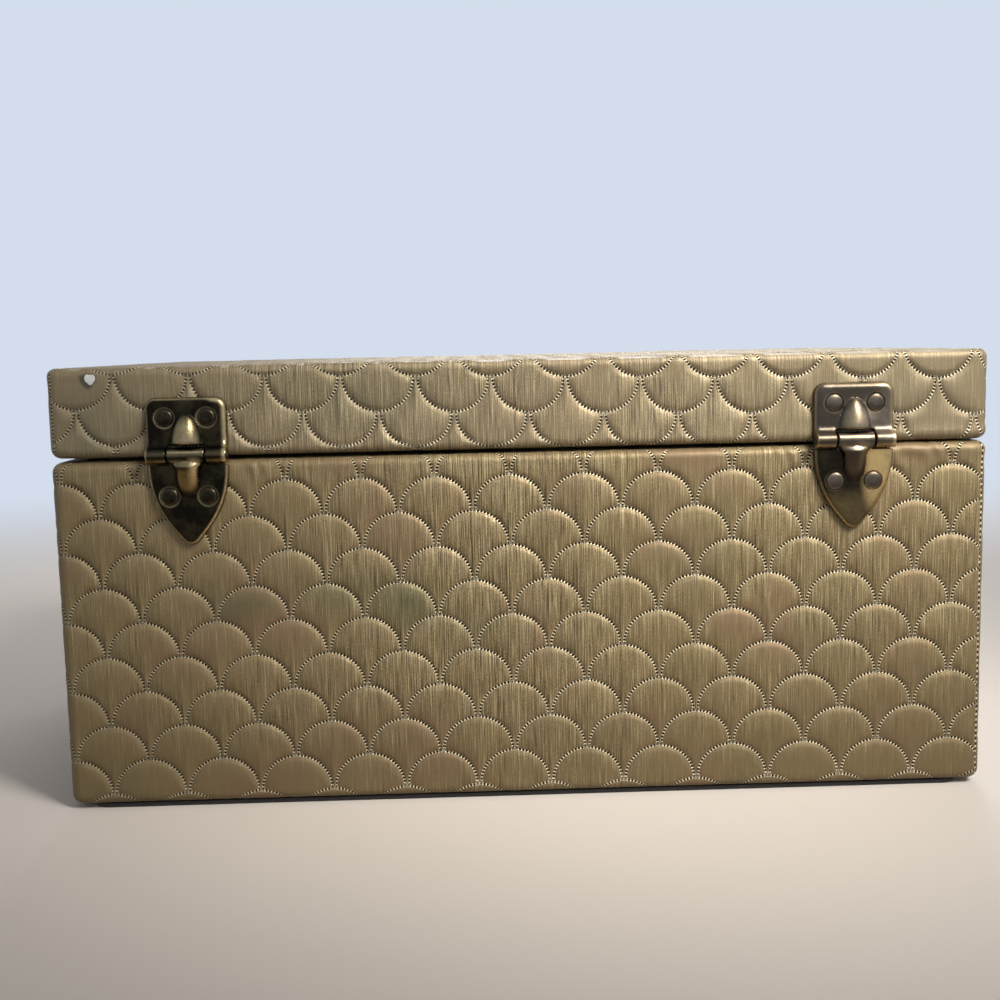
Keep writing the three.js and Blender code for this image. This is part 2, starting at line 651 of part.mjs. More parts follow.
function catchTongueSolid() {
  const headHalf = TONGUE_HEAD_WIDTH / 2;
  const half = TONGUE_WIDTH / 2;
  const headLow = UPPER_RIVET_RISE - TONGUE_HEAD_HEIGHT / 2;
  const shape = new THREE.Shape();
  shape.moveTo(-half, tongueEnd);
  shape.lineTo(half, tongueEnd);
  shape.lineTo(half, headLow);
  shape.lineTo(headHalf, headLow);
  shape.lineTo(headHalf, headLow + TONGUE_HEAD_HEIGHT);
  shape.lineTo(-headHalf, headLow + TONGUE_HEAD_HEIGHT);
  shape.lineTo(-headHalf, headLow);
  shape.lineTo(-half, headLow);
  shape.lineTo(-half, notchBottom + NOTCH_HEIGHT);
  shape.lineTo(-half + NOTCH_DEPTH, notchBottom + NOTCH_HEIGHT);
  shape.lineTo(-half + NOTCH_DEPTH, notchBottom);
  shape.lineTo(-half, notchBottom);
  const geometry = new THREE.ExtrudeGeometry(shape, { depth: TONGUE_THICK, bevelEnabled: false });
  const strip = solidOf(geometry.rotateX(Math.PI / 2).translate(0, tongueBack, 0));
  return upperRivets.reduce((cut, [x, z]) => cut.subtract(rivetHole(x, z, -CUT_REACH, CUT_REACH)), strip);
}

function catchCaseSolid() {
  const plate = stampedPlate(shieldShape(caseTop, caseTop - CASE_LENGTH, false), CASE_HEIGHT);
  const mouthHalf = TONGUE_WIDTH / 2 + 2 * SLIDE_FIT;
  const mouth = blockSolid(-mouthHalf, mouthHalf, caseFront + SHEET + LEAF_BEVEL, plateBack + CUT_REACH,
    caseTop - LEAF_BEVEL - SHEET - GLUE, caseTop + CUT_REACH);
  const slotStart = neckMiddle - NECK_LENGTH / 2 - SLIDE_FIT;
  const slotEnd = neckMiddle + NECK_LENGTH / 2 + BOLT_TRAVEL + SLIDE_FIT;
  const slotHalf = NECK_HEIGHT / 2 + SLIDE_FIT;
  const slot = blockSolid(slotStart, slotEnd, caseFront - CUT_REACH, caseFront + 2 * SHEET,
    boltMiddle - slotHalf, boltMiddle + slotHalf);
  const housing = plate.outer.subtract(plate.hollow).subtract(mouth).subtract(slot);
  return seatRivets(housing, caseRivets, caseFront);
}

// The bolt inside the case, its neck through the slot, and the ribbed thumb button outside.
function catchSlideSolid() {
  const bolt = blockSolid(boltTip - BOLT_LENGTH, boltTip, boltBack - BOLT_THICK, boltBack,
    boltMiddle - BOLT_HEIGHT / 2, boltMiddle + BOLT_HEIGHT / 2);
  const buttonBack = caseFront - SLIDE_FIT;
  const neck = blockSolid(neckMiddle - NECK_LENGTH / 2, neckMiddle + NECK_LENGTH / 2,
    buttonBack - BUTTON_THICK / 2, boltBack - BOLT_THICK / 2,
    boltMiddle - NECK_HEIGHT / 2, boltMiddle + NECK_HEIGHT / 2);
  const outline = roundedRectangle(BUTTON_LENGTH / 2, BUTTON_HEIGHT / 2, BUTTON_HEIGHT / 4);
  const capGeometry = new THREE.ExtrudeGeometry(outline, {
    depth: BUTTON_THICK, bevelEnabled: false, curveSegments: PRISM_STEPS,
  });
  const cap = solidOf(capGeometry.rotateX(Math.PI / 2).translate(neckMiddle, buttonBack, boltMiddle));
  const ribStep = BUTTON_LENGTH / (BUTTON_RIBS + 1);
  const capFront = buttonBack - BUTTON_THICK;
  let button = cap;
  for (let i = 1; i <= BUTTON_RIBS; i += 1) {
    const ribX = neckMiddle - BUTTON_LENGTH / 2 + i * ribStep;
    button = button.subtract(blockSolid(ribX - BUTTON_RIB / 2, ribX + BUTTON_RIB / 2,
      capFront - CUT_REACH, capFront + BUTTON_RIB, boltMiddle - BUTTON_HEIGHT, boltMiddle + BUTTON_HEIGHT));
  }
  return bolt.add(neck).add(button);
}

const frontCatch = new THREE.Group();
frontCatch.position.set(0, -hingeAxisY, hingeAxisZ);
frontCatch.rotation.z = Math.PI;
sewingBox.add(frontCatch);
addPiece(frontCatch, 'catch_plate', geometryOf(catchPlateSolid()), antiqueBrass);
addPiece(frontCatch, 'catch_tongue', geometryOf(catchTongueSolid()), hingeSteel);
addPiece(frontCatch, 'catch_case', geometryOf(catchCaseSolid()), antiqueBrass);
addPiece(frontCatch, 'catch_slide', geometryOf(catchSlideSolid()), antiqueBrass);
addRivets(frontCatch, 'catch_plate', upperRivets, plateFront, 'lidFront', -1, 0, hingeAxisZ);
addRivets(frontCatch, 'catch_case', caseRivets, caseFront, 'bodyFront', -1, 0, hingeAxisZ);

// Drills a covering panel or a board where rivets go through it.
function drill(solid, wall) {
  const outward = wall.endsWith('Rear') ? -1 : 1;
  const ends = [outward * (halfDepth + CUT_REACH), outward * (boardY - RIVET_BITE - 2 * GLUE)];
  return rivetPlaces.filter((rivet) => rivet.wall === wall).reduce((cut, { x, z }) => (
    cut.subtract(rivetHole(x, z, Math.min(...ends), Math.max(...ends)))), solid);
}

// Covering panels of the body and of the lid

function addCover(name, solid) {
  addPiece(sewingBox, name, geometryOf(solid), goldVinyl);
}

const bodyPanel = (face, apexX, channelled) => (
  scallopPanel(bodyShell, bodyLow, bodyHigh, face, apexX, bodyApexZ, channelled));
const lidPanel = (face, apexV, channelled) => (
  scallopPanel(lidShell, lidLow, lidHigh, face, -LID_APEX_X, apexV, channelled));
addCover('body_rear_cover', drill(bodyPanel(rearFace, BODY_APEX_X, true), 'bodyRear'));
addCover('body_front_cover', drill(bodyPanel(frontFace, 0, false), 'bodyFront'));
addCover('lid_rear_cover', drill(lidPanel(lidRearFace, -lidApexZ, true), 'lidRear'));
addCover('lid_front_cover', drill(lidPanel(frontFace, lidApexZ, false), 'lidFront'));
addCover('lid_top_cover', lidPanel(topFace, 0, false));

// The ends of the body and of the lid are plain padded panels.
for (const [side, { axis, side: outward }] of [['left', leftFace], ['right', rightFace]]) {
  addCover(`body_${side}_cover`, bodyShell.intersect(mitreWedge(bodyLow, bodyHigh, axis, outward)));
  addCover(`lid_${side}_cover`, lidShell.intersect(mitreWedge(lidLow, lidHigh, axis, outward)));
}

// Boards: the long ones are rabbeted at their ends, and the end boards sit in the rabbets.

function longBoard(side, z0, z1) {
  const faces = [side * innerY, side * boardY];
  const board = blockSolid(-boardX, boardX, Math.min(...faces), Math.max(...faces), z0, z1);
  const rabbet = [side * (innerY - RABBET), side * (innerY + RABBET)];
  return [-1, 1].reduce((cut, end) => {
    const across = [end * innerX, end * (boardX + RABBET)];
    return cut.subtract(blockSolid(Math.min(...across), Math.max(...across),
      Math.min(...rabbet), Math.max(...rabbet), z0 - RABBET, z1 + RABBET));
  }, board);
}

function endBoard(side, z0, z1) {
  const faces = [side * (innerX + GLUE), side * boardX];
  const half = innerY + RABBET - GLUE;
  return block(Math.min(...faces), Math.max(...faces), -half, half, z0, z1);
}

function addFrame(prefix, suffix, z0, z1, rearWall, frontWall) {
  for (const [face, side, wall] of [['rear', -1, rearWall], ['front', 1, frontWall]]) {
    const board = drill(longBoard(side, z0, z1), wall);
    addPiece(sewingBox, `${prefix}_${face}_${suffix}`, geometryOf(board), plyBoard);
  }
  addPiece(sewingBox, `${prefix}_left_${suffix}`, endBoard(-1, z0, z1), plyBoard);
  addPiece(sewingBox, `${prefix}_right_${suffix}`, endBoard(1, z0, z1), plyBoard);
}

addFrame('body', 'board', wallBottom, wallTop, 'bodyRear', 'bodyFront');
addFrame('lid', 'rail', railBottom, railTop, 'lidRear', 'lidFront');
addPiece(sewingBox, 'lid_panel',
  block(-boardX, boardX, -boardY, boardY, lidPanelBottom, lidPanelTop), plyBoard);
const floorX = innerX - GLUE;
const floorY = innerY - GLUE;
addPiece(sewingBox, 'floor_board', block(-floorX, floorX, -floorY, floorY, bodyBottom, floorTop), plyBoard);
const baseOutline = roundedRectangle(halfLength - BASE_INSET, halfDepth - BASE_INSET, BASE_CORNER);
addPiece(sewingBox, 'base_sheet', geometryOf(prism(baseOutline, 0, BASE_SHEET)), blackSheet);

// Lining cards on the inner faces

function addLinings(prefix, z0, z1) {
  const cardX = innerX - GLUE;
  const cardY = innerY - GLUE;
  const endHalf = liningY - GLUE;
  const cards = {
    rear: block(-cardX, cardX, -cardY, -liningY, z0, z1),
    front: block(-cardX, cardX, liningY, cardY, z0, z1),
    left: block(-cardX, -liningX, -endHalf, endHalf, z0, z1),
    right: block(liningX, cardX, -endHalf, endHalf, z0, z1),
  };
  for (const [side, geometry] of Object.entries(cards)) {
    addPiece(sewingBox, `${prefix}_${side}_lining`, geometry, ivoryLining);
  }
}

addLinings('body', floorLiningTop + GLUE, bodyTop - LINING_DROP);
addLinings('lid', lidBottom + LINING_DROP, lidLiningBottom - GLUE);
addPiece(sewingBox, 'floor_lining',
  block(-floorX, floorX, -floorY, floorY, floorTop + GLUE, floorLiningTop), ivoryLining);
addPiece(sewingBox, 'lid_panel_lining',
  block(-floorX, floorX, -floorY, floorY, lidLiningBottom, lidPanelBottom - GLUE), ivoryLining);

// Ledges and the lift-out tray

const ledgeOuter = liningX - GLUE;
const ledgeInner = ledgeOuter - LEDGE_WIDTH;
const ledgeHalf = liningY - LEDGE_END;
for (const [side, x0, x1] of [['left', -ledgeOuter, -ledgeInner], ['right', ledgeInner, ledgeOuter]]) {
  const ledge = block(x0, x1, -ledgeHalf, ledgeHalf, ledgeTop - LEDGE_HEIGHT, ledgeTop);
  addPiece(sewingBox, `${side}_tray_ledge`, ledge, plyBoard);
}

// A moulded tray: three rows of pockets, a rolled rim, and a thumb grip cut in each end wall.
function traySolid() {
  const rimX = liningX - TRAY_SIDE_CLEARANCE;
  const rimY = liningY - TRAY_SIDE_CLEARANCE;
  const outX = rimX - TRAY_RIM_WIDTH;
  const outY = rimY - TRAY_RIM_WIDTH;
  const inX = outX - TRAY_WALL;
  const inY = outY - TRAY_WALL;
  const rows = [
    { depth: REAR_POCKET_DEPTH, pockets: REAR_POCKETS },
    { depth: MIDDLE_POCKET_DEPTH, pockets: 1 },
    { depth: 2 * (inY - TRAY_WALL) - REAR_POCKET_DEPTH - MIDDLE_POCKET_DEPTH, pockets: FRONT_POCKETS },
  ];
  const rim = roundedRectangle(rimX, rimY, TRAY_CORNER + TRAY_RIM_WIDTH);
  let tray = prism(roundedRectangle(outX, outY, TRAY_CORNER), trayBottom, trayTop)
    .add(prism(rim, trayTop - TRAY_RIM_HEIGHT, trayTop));
  let rowStart = -inY;
  for (const { depth, pockets } of rows) {
    const width = (2 * inX - (pockets - 1) * TRAY_WALL) / pockets;
    const pocket = prism(roundedRectangle(width / 2, depth / 2, POCKET_CORNER),
      trayBottom + TRAY_WALL, trayTop + CUT_REACH);
    for (let i = 0; i < pockets; i += 1) {
      const middle = -inX + width / 2 + i * (width + TRAY_WALL);
      tray = tray.subtract(pocket.translate([middle, rowStart + depth / 2, 0]));
    }
    rowStart += depth + TRAY_WALL;
  }
  const gripY = -inY + REAR_POCKET_DEPTH + TRAY_WALL + MIDDLE_POCKET_DEPTH / 2;
  const gripLength = 2 * rimX + CUT_REACH;
  const grip = new THREE.CylinderGeometry(TRAY_GRIP_RADIUS, TRAY_GRIP_RADIUS, gripLength, GRIP_SIDES);
  grip.rotateZ(Math.PI / 2).translate(0, gripY, trayTop + TRAY_RIM_HEIGHT);
  return tray.subtract(solidOf(grip));
}

addPiece(sewingBox, 'tray', geometryOf(traySolid()), ivoryPlastic);

export default sewingBox;
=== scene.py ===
import json
import math
import bpy
import bmesh
import numpy as np
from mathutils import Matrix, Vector
from mathutils.geometry import delaunay_2d_cdt


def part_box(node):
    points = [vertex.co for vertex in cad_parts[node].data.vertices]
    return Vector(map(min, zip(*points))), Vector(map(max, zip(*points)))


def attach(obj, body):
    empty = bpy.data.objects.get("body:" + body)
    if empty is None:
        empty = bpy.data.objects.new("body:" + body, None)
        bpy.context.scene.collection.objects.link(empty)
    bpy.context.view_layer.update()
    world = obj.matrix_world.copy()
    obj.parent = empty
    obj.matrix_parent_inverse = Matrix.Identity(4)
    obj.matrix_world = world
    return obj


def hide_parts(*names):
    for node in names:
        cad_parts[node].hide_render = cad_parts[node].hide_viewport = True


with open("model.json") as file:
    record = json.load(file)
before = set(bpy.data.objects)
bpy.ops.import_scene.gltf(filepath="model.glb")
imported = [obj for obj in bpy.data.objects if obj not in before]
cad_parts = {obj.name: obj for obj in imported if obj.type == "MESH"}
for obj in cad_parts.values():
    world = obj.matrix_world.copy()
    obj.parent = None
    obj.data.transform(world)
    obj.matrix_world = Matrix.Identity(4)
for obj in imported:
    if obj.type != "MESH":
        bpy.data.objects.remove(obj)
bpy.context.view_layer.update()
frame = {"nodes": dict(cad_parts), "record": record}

nodes = frame["nodes"]
scene = bpy.context.scene
scene.view_settings.view_transform = "Standard"
mm = 0.001


def addObject(name, data):
    made = bpy.data.objects.new(name, data)
    scene.collection.objects.link(made)
    return made


# Camera and lamps

camera = dict(place=(-19.84, -611.48, 178.92), turn=(83.119, 1.251, -1.407), lens=46.08, sensor=36, near=0.02)
scene.camera = cam = addObject("camera", bpy.data.cameras.new("camera"))
cam.location = Vector(camera["place"]) * mm
cam.rotation_euler = [math.radians(a) for a in camera["turn"]]
cam.data.lens, cam.data.sensor_width, cam.data.clip_start = (camera[k] for k in ("lens", "sensor", "near"))

lamps = dict(
    window=dict(place=(0.38, -0.52, 0.63), aim=(0.11, -0.12, 0.21), size=0.30, spread=52, power=0.95,
                tint=(1, 0.975, 0.93)),
    roomFill=dict(place=(-0.05, -1.2, 0.65), aim=(0, -0.1, 0.10), size=1.1, spread=180, power=0.85,
                  tint=(0.96, 0.98, 1)),
    farLight=dict(place=(0.2, 1.25, 0.78), aim=(0, 0, 0.1), size=0.9, spread=180, power=10, tint=(1, 1, 1)),
)
for name, lamp in lamps.items():
    light = bpy.data.lights.new(name, "AREA")
    light.size, light.energy, light.color = lamp["size"], lamp["power"], lamp["tint"]
    light.spread = math.radians(lamp["spread"])
    obj = addObject(name, light)
    obj.location = lamp["place"]
    away = Vector(lamp["aim"]) - Vector(lamp["place"])
    obj.rotation_euler = away.to_track_quat("-Z", "Y").to_euler()


# Short forms for shader nodes, which go into the material in hand

def addNode(kind, inputs=None, **props):
    made = tree.nodes.new(kind)
    for key, value in props.items():
        setattr(made, key, value)
    for key, value in (inputs or {}).items():
        if isinstance(value, bpy.types.NodeSocket):
            tree.links.new(value, made.inputs[key])
        else:
            made.inputs[key].default_value = value
    return made


def maths(op, a, b=0.0):
    return addNode("ShaderNodeMath", {0: a, 1: b}, operation=op).outputs[0]


def times(a, b):
    return maths("MULTIPLY", a, b)


def plus(a, b):
    return maths("ADD", a, b)


def minus(a, b):
    return maths("SUBTRACT", a, b)


def mixColour(factor, a, b):
    a, b = (c if isinstance(c, bpy.types.NodeSocket) else (*c, 1.0) for c in (a, b))
    return addNode("ShaderNodeMix", {0: factor, 6: a, 7: b}, data_type="RGBA").outputs[2]


def mapRange(value, low, high, toLow=0.0, toHigh=1.0):
    limits = {0: value, 1: low, 2: high, 3: toLow, 4: toHigh}
    return addNode("ShaderNodeMapRange", limits, interpolation_type="SMOOTHSTEP").outputs[0]


def noise(vector, scale, detail=3.0, rough=0.55):
    inputs = {"Vector": vector, "Scale": scale, "Detail": detail, "Roughness": rough}
    return addNode("ShaderNodeTexNoise", inputs).outputs["Fac"]


def fibres(vector, by, detail=1.0, rough=0.5):  # noise drawn out along one axis
    drawn = addNode("ShaderNodeVectorMath", {0: vector, 1: by}, operation="MULTIPLY").outputs[0]
    return noise(drawn, 1.0, detail, rough)


def moved(vector, by):
    return addNode("ShaderNodeVectorMath", {0: vector, 1: by}).outputs[0]


def attribute(name):
    return addNode("ShaderNodeAttribute", attribute_name=name).outputs["Fac"]


def objectSpace():
    return addNode("ShaderNodeTexCoord").outputs["Object"]


def newMaterial(name, metallic=0.0):
    made = bpy.data.materials.new(name)
    made.use_nodes = True
    shader = made.node_tree.nodes["Principled BSDF"]
    shader.inputs["Metallic"].default_value = metallic
    return made, made.node_tree, shader


def setSurface(colour, rough, height, strength, distance):
    bump = addNode("ShaderNodeBump", {"Strength": strength, "Distance": distance * mm, "Height": height})
    for key, value in (("Base Color", colour), ("Roughness", rough), ("Normal", bump.outputs["Normal"])):
        tree.links.new(value, bsdf.inputs[key])


def shownRay():
    path = addNode("ShaderNodeLightPath").outputs
    seen = maths("MAXIMUM", path["Is Camera Ray"], path["Is Glossy Ray"])
    return maths("MAXIMUM", seen, path["Is Transmission Ray"])


# Floor, which fades into the backdrop

backdrop = dict(seen=(0.655, 0.725, 0.84), light=(0.175, 0.178, 0.185))
floorLook = dict(colour=(0.805, 0.732, 0.664), tone=0.05, bounce=0.28, rough=0.7, size=6.0, fadeStart=0.42,
                 fadeEnd=1.25)
paleFloor, tree, bsdf = newMaterial("paleFloor")
place = objectSpace()
low = [c - floorLook["tone"] for c in floorLook["colour"]]
dim = [floorLook["bounce"] * c for c in floorLook["colour"]]
colour = mixColour(noise(place, 3.0, 2.0), low, floorLook["colour"])
shown = shownRay()
tree.links.new(mixColour(shown, dim, colour), bsdf.inputs["Base Color"])
bsdf.inputs["Roughness"].default_value = floorLook["rough"]
far = addNode("ShaderNodeVectorMath", {0: place}, operation="LENGTH").outputs["Value"]
fade = times(mapRange(far, floorLook["fadeStart"], floorLook["fadeEnd"]), shown)
glow = addNode("ShaderNodeEmission", {"Color": (*backdrop["seen"], 1.0)})
blend = addNode("ShaderNodeMixShader", {0: fade, 1: bsdf.outputs[0], 2: glow.outputs[0]})
tree.links.new(blend.outputs[0], tree.nodes["Material Output"].inputs["Surface"])
mesh = bpy.data.meshes.new("floor")
half = floorLook["size"]
mesh.from_pydata([(-half, -half, 0), (half, -half, 0), (half, half, 0), (-half, half, 0)], [], [(0, 1, 2, 3)])
mesh.materials.append(paleFloor)
floor = addObject("floor", mesh)

world = bpy.data.worlds.new("studio")
world.use_nodes = True
scene.world = world
tree = world.node_tree
shade = mixColour(shownRay(), backdrop["light"], backdrop["seen"])
tree.links.new(shade, tree.nodes["Background"].inputs["Color"])
print("camera, lamps and floor")

# Gold vinyl, welded in a dotted scallop pattern

# The cream colour is a painted highlight on the weld ridges, and the pit colour is painted shade in the weld pits.
vinylLook = dict(gold=(0.236, 0.170, 0.078), dark=(0.088, 0.058, 0.022), pale=(0.54, 0.43, 0.238),
                 olive=(0.135, 0.122, 0.050), rosy=(0.235, 0.146, 0.078), barHighlight=(0.90, 0.775, 0.53),
                 pit=(0.036, 0.020, 0.006), skyReflection=(0.74, 0.71, 0.65), tarnish=(0.085, 0.098, 0.045),
                 metallic=0.35, linePitch=0.85)
# The chip's shade colour is a painted shadow cast by the torn flap.
chip = dict(at=(-163.9, 169.4), half=(2.1, 2.2), white=(0.86, 0.85, 0.82), shade=(0.05, 0.045, 0.035))
goldVinyl, tree, bsdf = newMaterial("goldVinyl", vinylLook["metallic"])
sheetUv = addNode("ShaderNodeUVMap", uv_map="sheet").outputs["UV"]
sheetX, sheetY = addNode("ShaderNodeSeparateXYZ", {0: sheetUv}).outputs[:2]
fine = fibres(sheetUv, (4000, 95, 1))
grain = fibres(sheetUv, (5600, 1100, 1))
streaks = plus(times(fine, 0.5), times(grain, 0.34))
drift = fibres(sheetUv, (620, 4, 1))
phase = plus(times(sheetX, 1 / (vinylLook["linePitch"] * mm)), times(drift, 4.0))
lines = maths("SINE", times(phase, 2 * math.pi))  # upright fibres, unevenly spaced
lengths = mapRange(fibres(sheetUv, (1300, 85, 1)), 0.36, 0.62, 0.1, 1.0)
streaks = plus(streaks, times(times(lines, lengths), 0.11))
calm = noise(moved(sheetUv, (1.3, 4.1, 0)), 12.0, 2.0, 0.5)
strength = mapRange(calm, 0.36, 0.62, 0.5, 0.85)  # some scales are streakier than others
strength = times(strength, mapRange(sheetX, -0.17, -0.02, 0.45, 1.0))  # smoother to the left
strength = times(strength, mapRange(sheetX, 0.05, 0.17, 1.0, 0.68))  # and a little to the right
strength = times(strength, mapRange(maths("ABSOLUTE", sheetY), 0.004, 0.05, 0.55, 1.0))  # and low down
streaks = plus(times(minus(streaks, 0.42), strength), 0.5)
colour = mixColour(mapRange(streaks, 0.40, 0.49), vinylLook["dark"], vinylLook["gold"])
colour = mixColour(mapRange(streaks, 0.50, 0.61, 0, 0.9), colour, vinylLook["pale"])
patch = noise(sheetUv, 23.0, 3.0, 0.55)
rosy = mapRange(patch, 0.48, 0.69, 0, 0.75)
rosy = times(rosy, mapRange(sheetY, -0.13, -0.01, 0.3, 1.0))  # less on the lid
colour = mixColour(rosy, colour, vinylLook["rosy"])
blotch = noise(moved(sheetUv, (3.7, 1.9, 0)), 27.0, 4.0, 0.6)
colour = mixColour(mapRange(blotch, 0.56, 0.76, 0, 0.5), colour, vinylLook["olive"])
footShade = mapRange(maths("ABSOLUTE", sheetY), 0.0, 0.075, 0.3, 0.0)  # painted shade: darker towards the foot of the body, where less light falls
colour = mixColour(footShade, colour, vinylLook["dark"])
colour = mixColour(times(attribute("tarnish"), 0.7), colour, vinylLook["tarnish"])
weldDist = attribute("weldDist")  # millimetres from a weld line
along = times(minus(maths("FRACT", attribute("weldDot")), 0.5), 2.1)
across = times(weldDist, 1.22)
reach = maths("SQRT", plus(maths("POWER", along, 2.0), maths("POWER", across, 2.0)))
dot = mapRange(reach, 0.56, 0.84, 1, 0)
track = mapRange(weldDist, 0.38, 0.64, 1, 0)
bar = times(track, minus(1.0, dot))
weldPaintStrength = mapRange(sheetX, -0.17, 0.0, 0.5, 0.95)  # the painted weld highlight and pit shade are weaker to the left
# painted highlight on the ridges between the weld dots, then painted shade in the dot pits
colour = mixColour(times(bar, weldPaintStrength), colour, vinylLook["barHighlight"])
colour = mixColour(times(dot, maths("SQRT", weldPaintStrength)), colour, vinylLook["pit"])
# painted sky reflection: the lid sides are mixed a little towards pale grey
colour = mixColour(attribute("skyReflection"), colour, vinylLook["skyReflection"])


# A torn flake, wide above and narrow below, where the white backing shows.
def flake(shiftX, shiftY, size):
    x = times(minus(sheetX, (chip["at"][0] + shiftX) * mm), 1 / (size * chip["half"][0] * mm))
    y = times(plus(sheetY, (chip["at"][1] + shiftY) * mm), 1 / (size * chip["half"][1] * mm))
    x = times(x, plus(times(y, 0.4), 1.0))
    far = maths("SQRT", plus(times(x, x), times(y, y)))
    return plus(far, times(fibres(sheetUv, (2600, 300, 1), 1.0, 0.55), 0.45))


torn = mapRange(flake(0, 0, 1.0), 1.08, 1.2, 1, 0)
# painted shadow cast by the torn flap, to its lower left
colour = mixColour(mapRange(flake(-0.9, -0.5, 1.25), 1.0, 1.6, 0.8, 0), colour, chip["shade"])
colour = mixColour(torn, colour, chip["white"])
tree.links.new(times(minus(1.0, torn), vinylLook["metallic"]), bsdf.inputs["Metallic"])
dull = maths("MAXIMUM", mapRange(streaks, 0.35, 0.65, 0.62, 0.48), times(dot, 0.95))
relief = plus(times(streaks, 0.2), times(dot, -0.8))
relief = plus(plus(relief, times(torn, 0.9)), times(bar, 0.3))
setSurface(colour, dull, relief, 0.8, 0.3)

quilt = dict(pitch=28.8, row=13.7, neck=2.8125, dots=32, depth=0.9, rise=2.4, curve=2.0, track=0.3, weld=0.42,
             pit=0.36, bar=0.12, sink=0.12, steps=(0, 0.016, 0.045, 0.11, 0.28), perQuarter=32, sharp=58)
quilt["radius"] = quilt["pitch"] / 2 / (1 + math.sin(math.radians(quilt["neck"])))


# One scale as a grid between its own arc and the arcs of the two scales below, seen from its apex.
def scaleGrid(perQuarter, steps):
    r, pitch, row = quilt["radius"], quilt["pitch"], quilt["row"]
    neck = math.radians(quilt["neck"])
    quarter = np.append(np.linspace(0, math.pi / 2 - neck, perQuarter), math.pi / 2)
    angles = np.concatenate([math.pi - quarter, quarter[-2::-1]])
    top = np.stack([r * np.cos(angles), r * np.sin(angles) - r], 1)
    breakA, breakB = r * math.sin(neck), r * (math.cos(neck) - 1)
    top[0] = (-pitch / 2 + breakA, -row + breakB)
    top[-1] = (pitch / 2 - breakA, -row + breakB)
    lower = quarter[-2::-1]
    left = np.stack([-pitch / 2 + r * np.cos(lower), -row - r + r * np.sin(lower)], 1)
    left[-1] = (-breakA, -2 * row + breakB)
    right = left[::-1] * (-1, 1)
    bottom = np.concatenate([left, [(0, -2 * row)], right])
    t = np.array([*steps, *(1 - s for s in reversed(steps))])
    return top[:, None] + (bottom - top)[:, None] * t[None, :, None]


# Distance to the nearest weld line and the count of dots along it.
def weldField(a, b, apex, slope):
    b = b - slope * (a - apex[0])
    r, pitch, row = quilt["radius"], quilt["pitch"], quilt["row"]
    best = np.full(a.shape, 1e9)
    dotAt = np.zeros(a.shape)
    first = np.floor((apex[1] - b) / row)
    for step in (-1, 0, 1, 2):
        j = first + step
        shift = apex[0] + np.where(np.mod(j, 2) == 0, 0.0, pitch / 2)
        column = np.round((a - shift) / pitch)
        near = np.sign(a - shift - column * pitch)
        for extra in (0, 1):
            da = a - shift - (column + extra * near) * pitch
            db = b - (apex[1] - row * j - r)
            arc = np.abs(np.hypot(da, db) - r)
            end = np.hypot(np.abs(da) - r, db)
            d = np.where(db >= 0, arc, end)
            angle = np.where(db >= 0, np.arctan2(db, da), np.where(da > 0, 0.0, math.pi))
            dotAt = np.where(d < best, angle / math.pi * quilt["dots"], dotAt)
            best = np.minimum(best, d)
    return best, dotAt


# A flat sheet of scales, cut to a rectangle, in pattern millimetres.
def quiltSheet(box, apex, perQuarter, steps, slope, folds=(), seams=()):
    lowA, highA, lowB, highB = box
    pitch, row = quilt["pitch"], quilt["row"]
    grid = scaleGrid(perQuarter, steps)
    wide, tall = grid.shape[:2]
    points, quads, tris = [], [], []
    index = np.arange(wide * tall).reshape(wide, tall)
    body = np.stack([index[1:-2, :-1], index[1:-2, 1:], index[2:-1, 1:], index[2:-1, :-1]], -1).reshape(-1, 4)
    start = np.stack([np.broadcast_to(index[0, :1], tall - 1), index[1, 1:], index[1, :-1]], -1)
    end = np.stack([np.broadcast_to(index[-1, :1], tall - 1), index[-2, :-1], index[-2, 1:]], -1)
    count = 0
    for j in range(int((apex[1] - highB) // row) - 3, int((apex[1] - lowB) // row) + 2):
        shift = apex[0] + (0 if j % 2 == 0 else pitch / 2)
        for i in range(int((lowA - shift) // pitch), int((highA - shift) // pitch) + 2):
            points.append(grid.reshape(-1, 2) + (shift + i * pitch, apex[1] - j * row))
            quads.append(body + count)
            tris.append(np.concatenate([start, end]) + count)
            count += wide * tall
    points = np.concatenate(points)
    key, where = np.unique(np.round(points, 3), axis=0, return_inverse=True)
    where = where.ravel()
    faces = [*where[np.concatenate(quads)].tolist(), *where[np.concatenate(tris)].tolist()]
    faces = [f for f in faces if len(set(f)) == len(f)]
    key = key + np.c_[0 * key[:, 0], slope * (key[:, 0] - apex[0])]  # the sheet may sit a little askew
    mesh = bpy.data.meshes.new("sheet")
    mesh.from_pydata(np.c_[key, np.zeros(len(key))].tolist(), [], faces)
    bm = bmesh.new()
    bm.from_mesh(mesh)
    cuts = [((lowA, 0, 0), (-1, 0, 0), True), ((highA, 0, 0), (1, 0, 0), True),
            ((0, lowB, 0), (0, -1, 0), True), ((0, highB, 0), (0, 1, 0), True)]
    cuts += [((0, level, 0), (0, 1, 0), False) for level in folds]
    cuts += [((at, 0, 0), (1, 0, 0), False) for at in seams]
    for co, normal, trim in cuts:  # the edges, then rows of points where the sheet turns or is sewn
        every = bm.verts[:] + bm.edges[:] + bm.faces[:]
        bmesh.ops.bisect_plane(bm, geom=every, dist=1e-4, plane_co=co, plane_no=normal, clear_outer=trim)
    bmesh.ops.triangulate(bm, faces=[f for f in bm.faces if len(f.verts) > 4])
    bm.to_mesh(mesh)  # out and in again, so that later points follow the first ones in order
    bm.clear()
    bm.from_mesh(mesh)
    bpy.data.meshes.remove(mesh)
    return bm


def smoothStep(low, high, value):
    t = np.clip((value - low) / (high - low), 0, 1)
    return t * t * (3 - 2 * t)


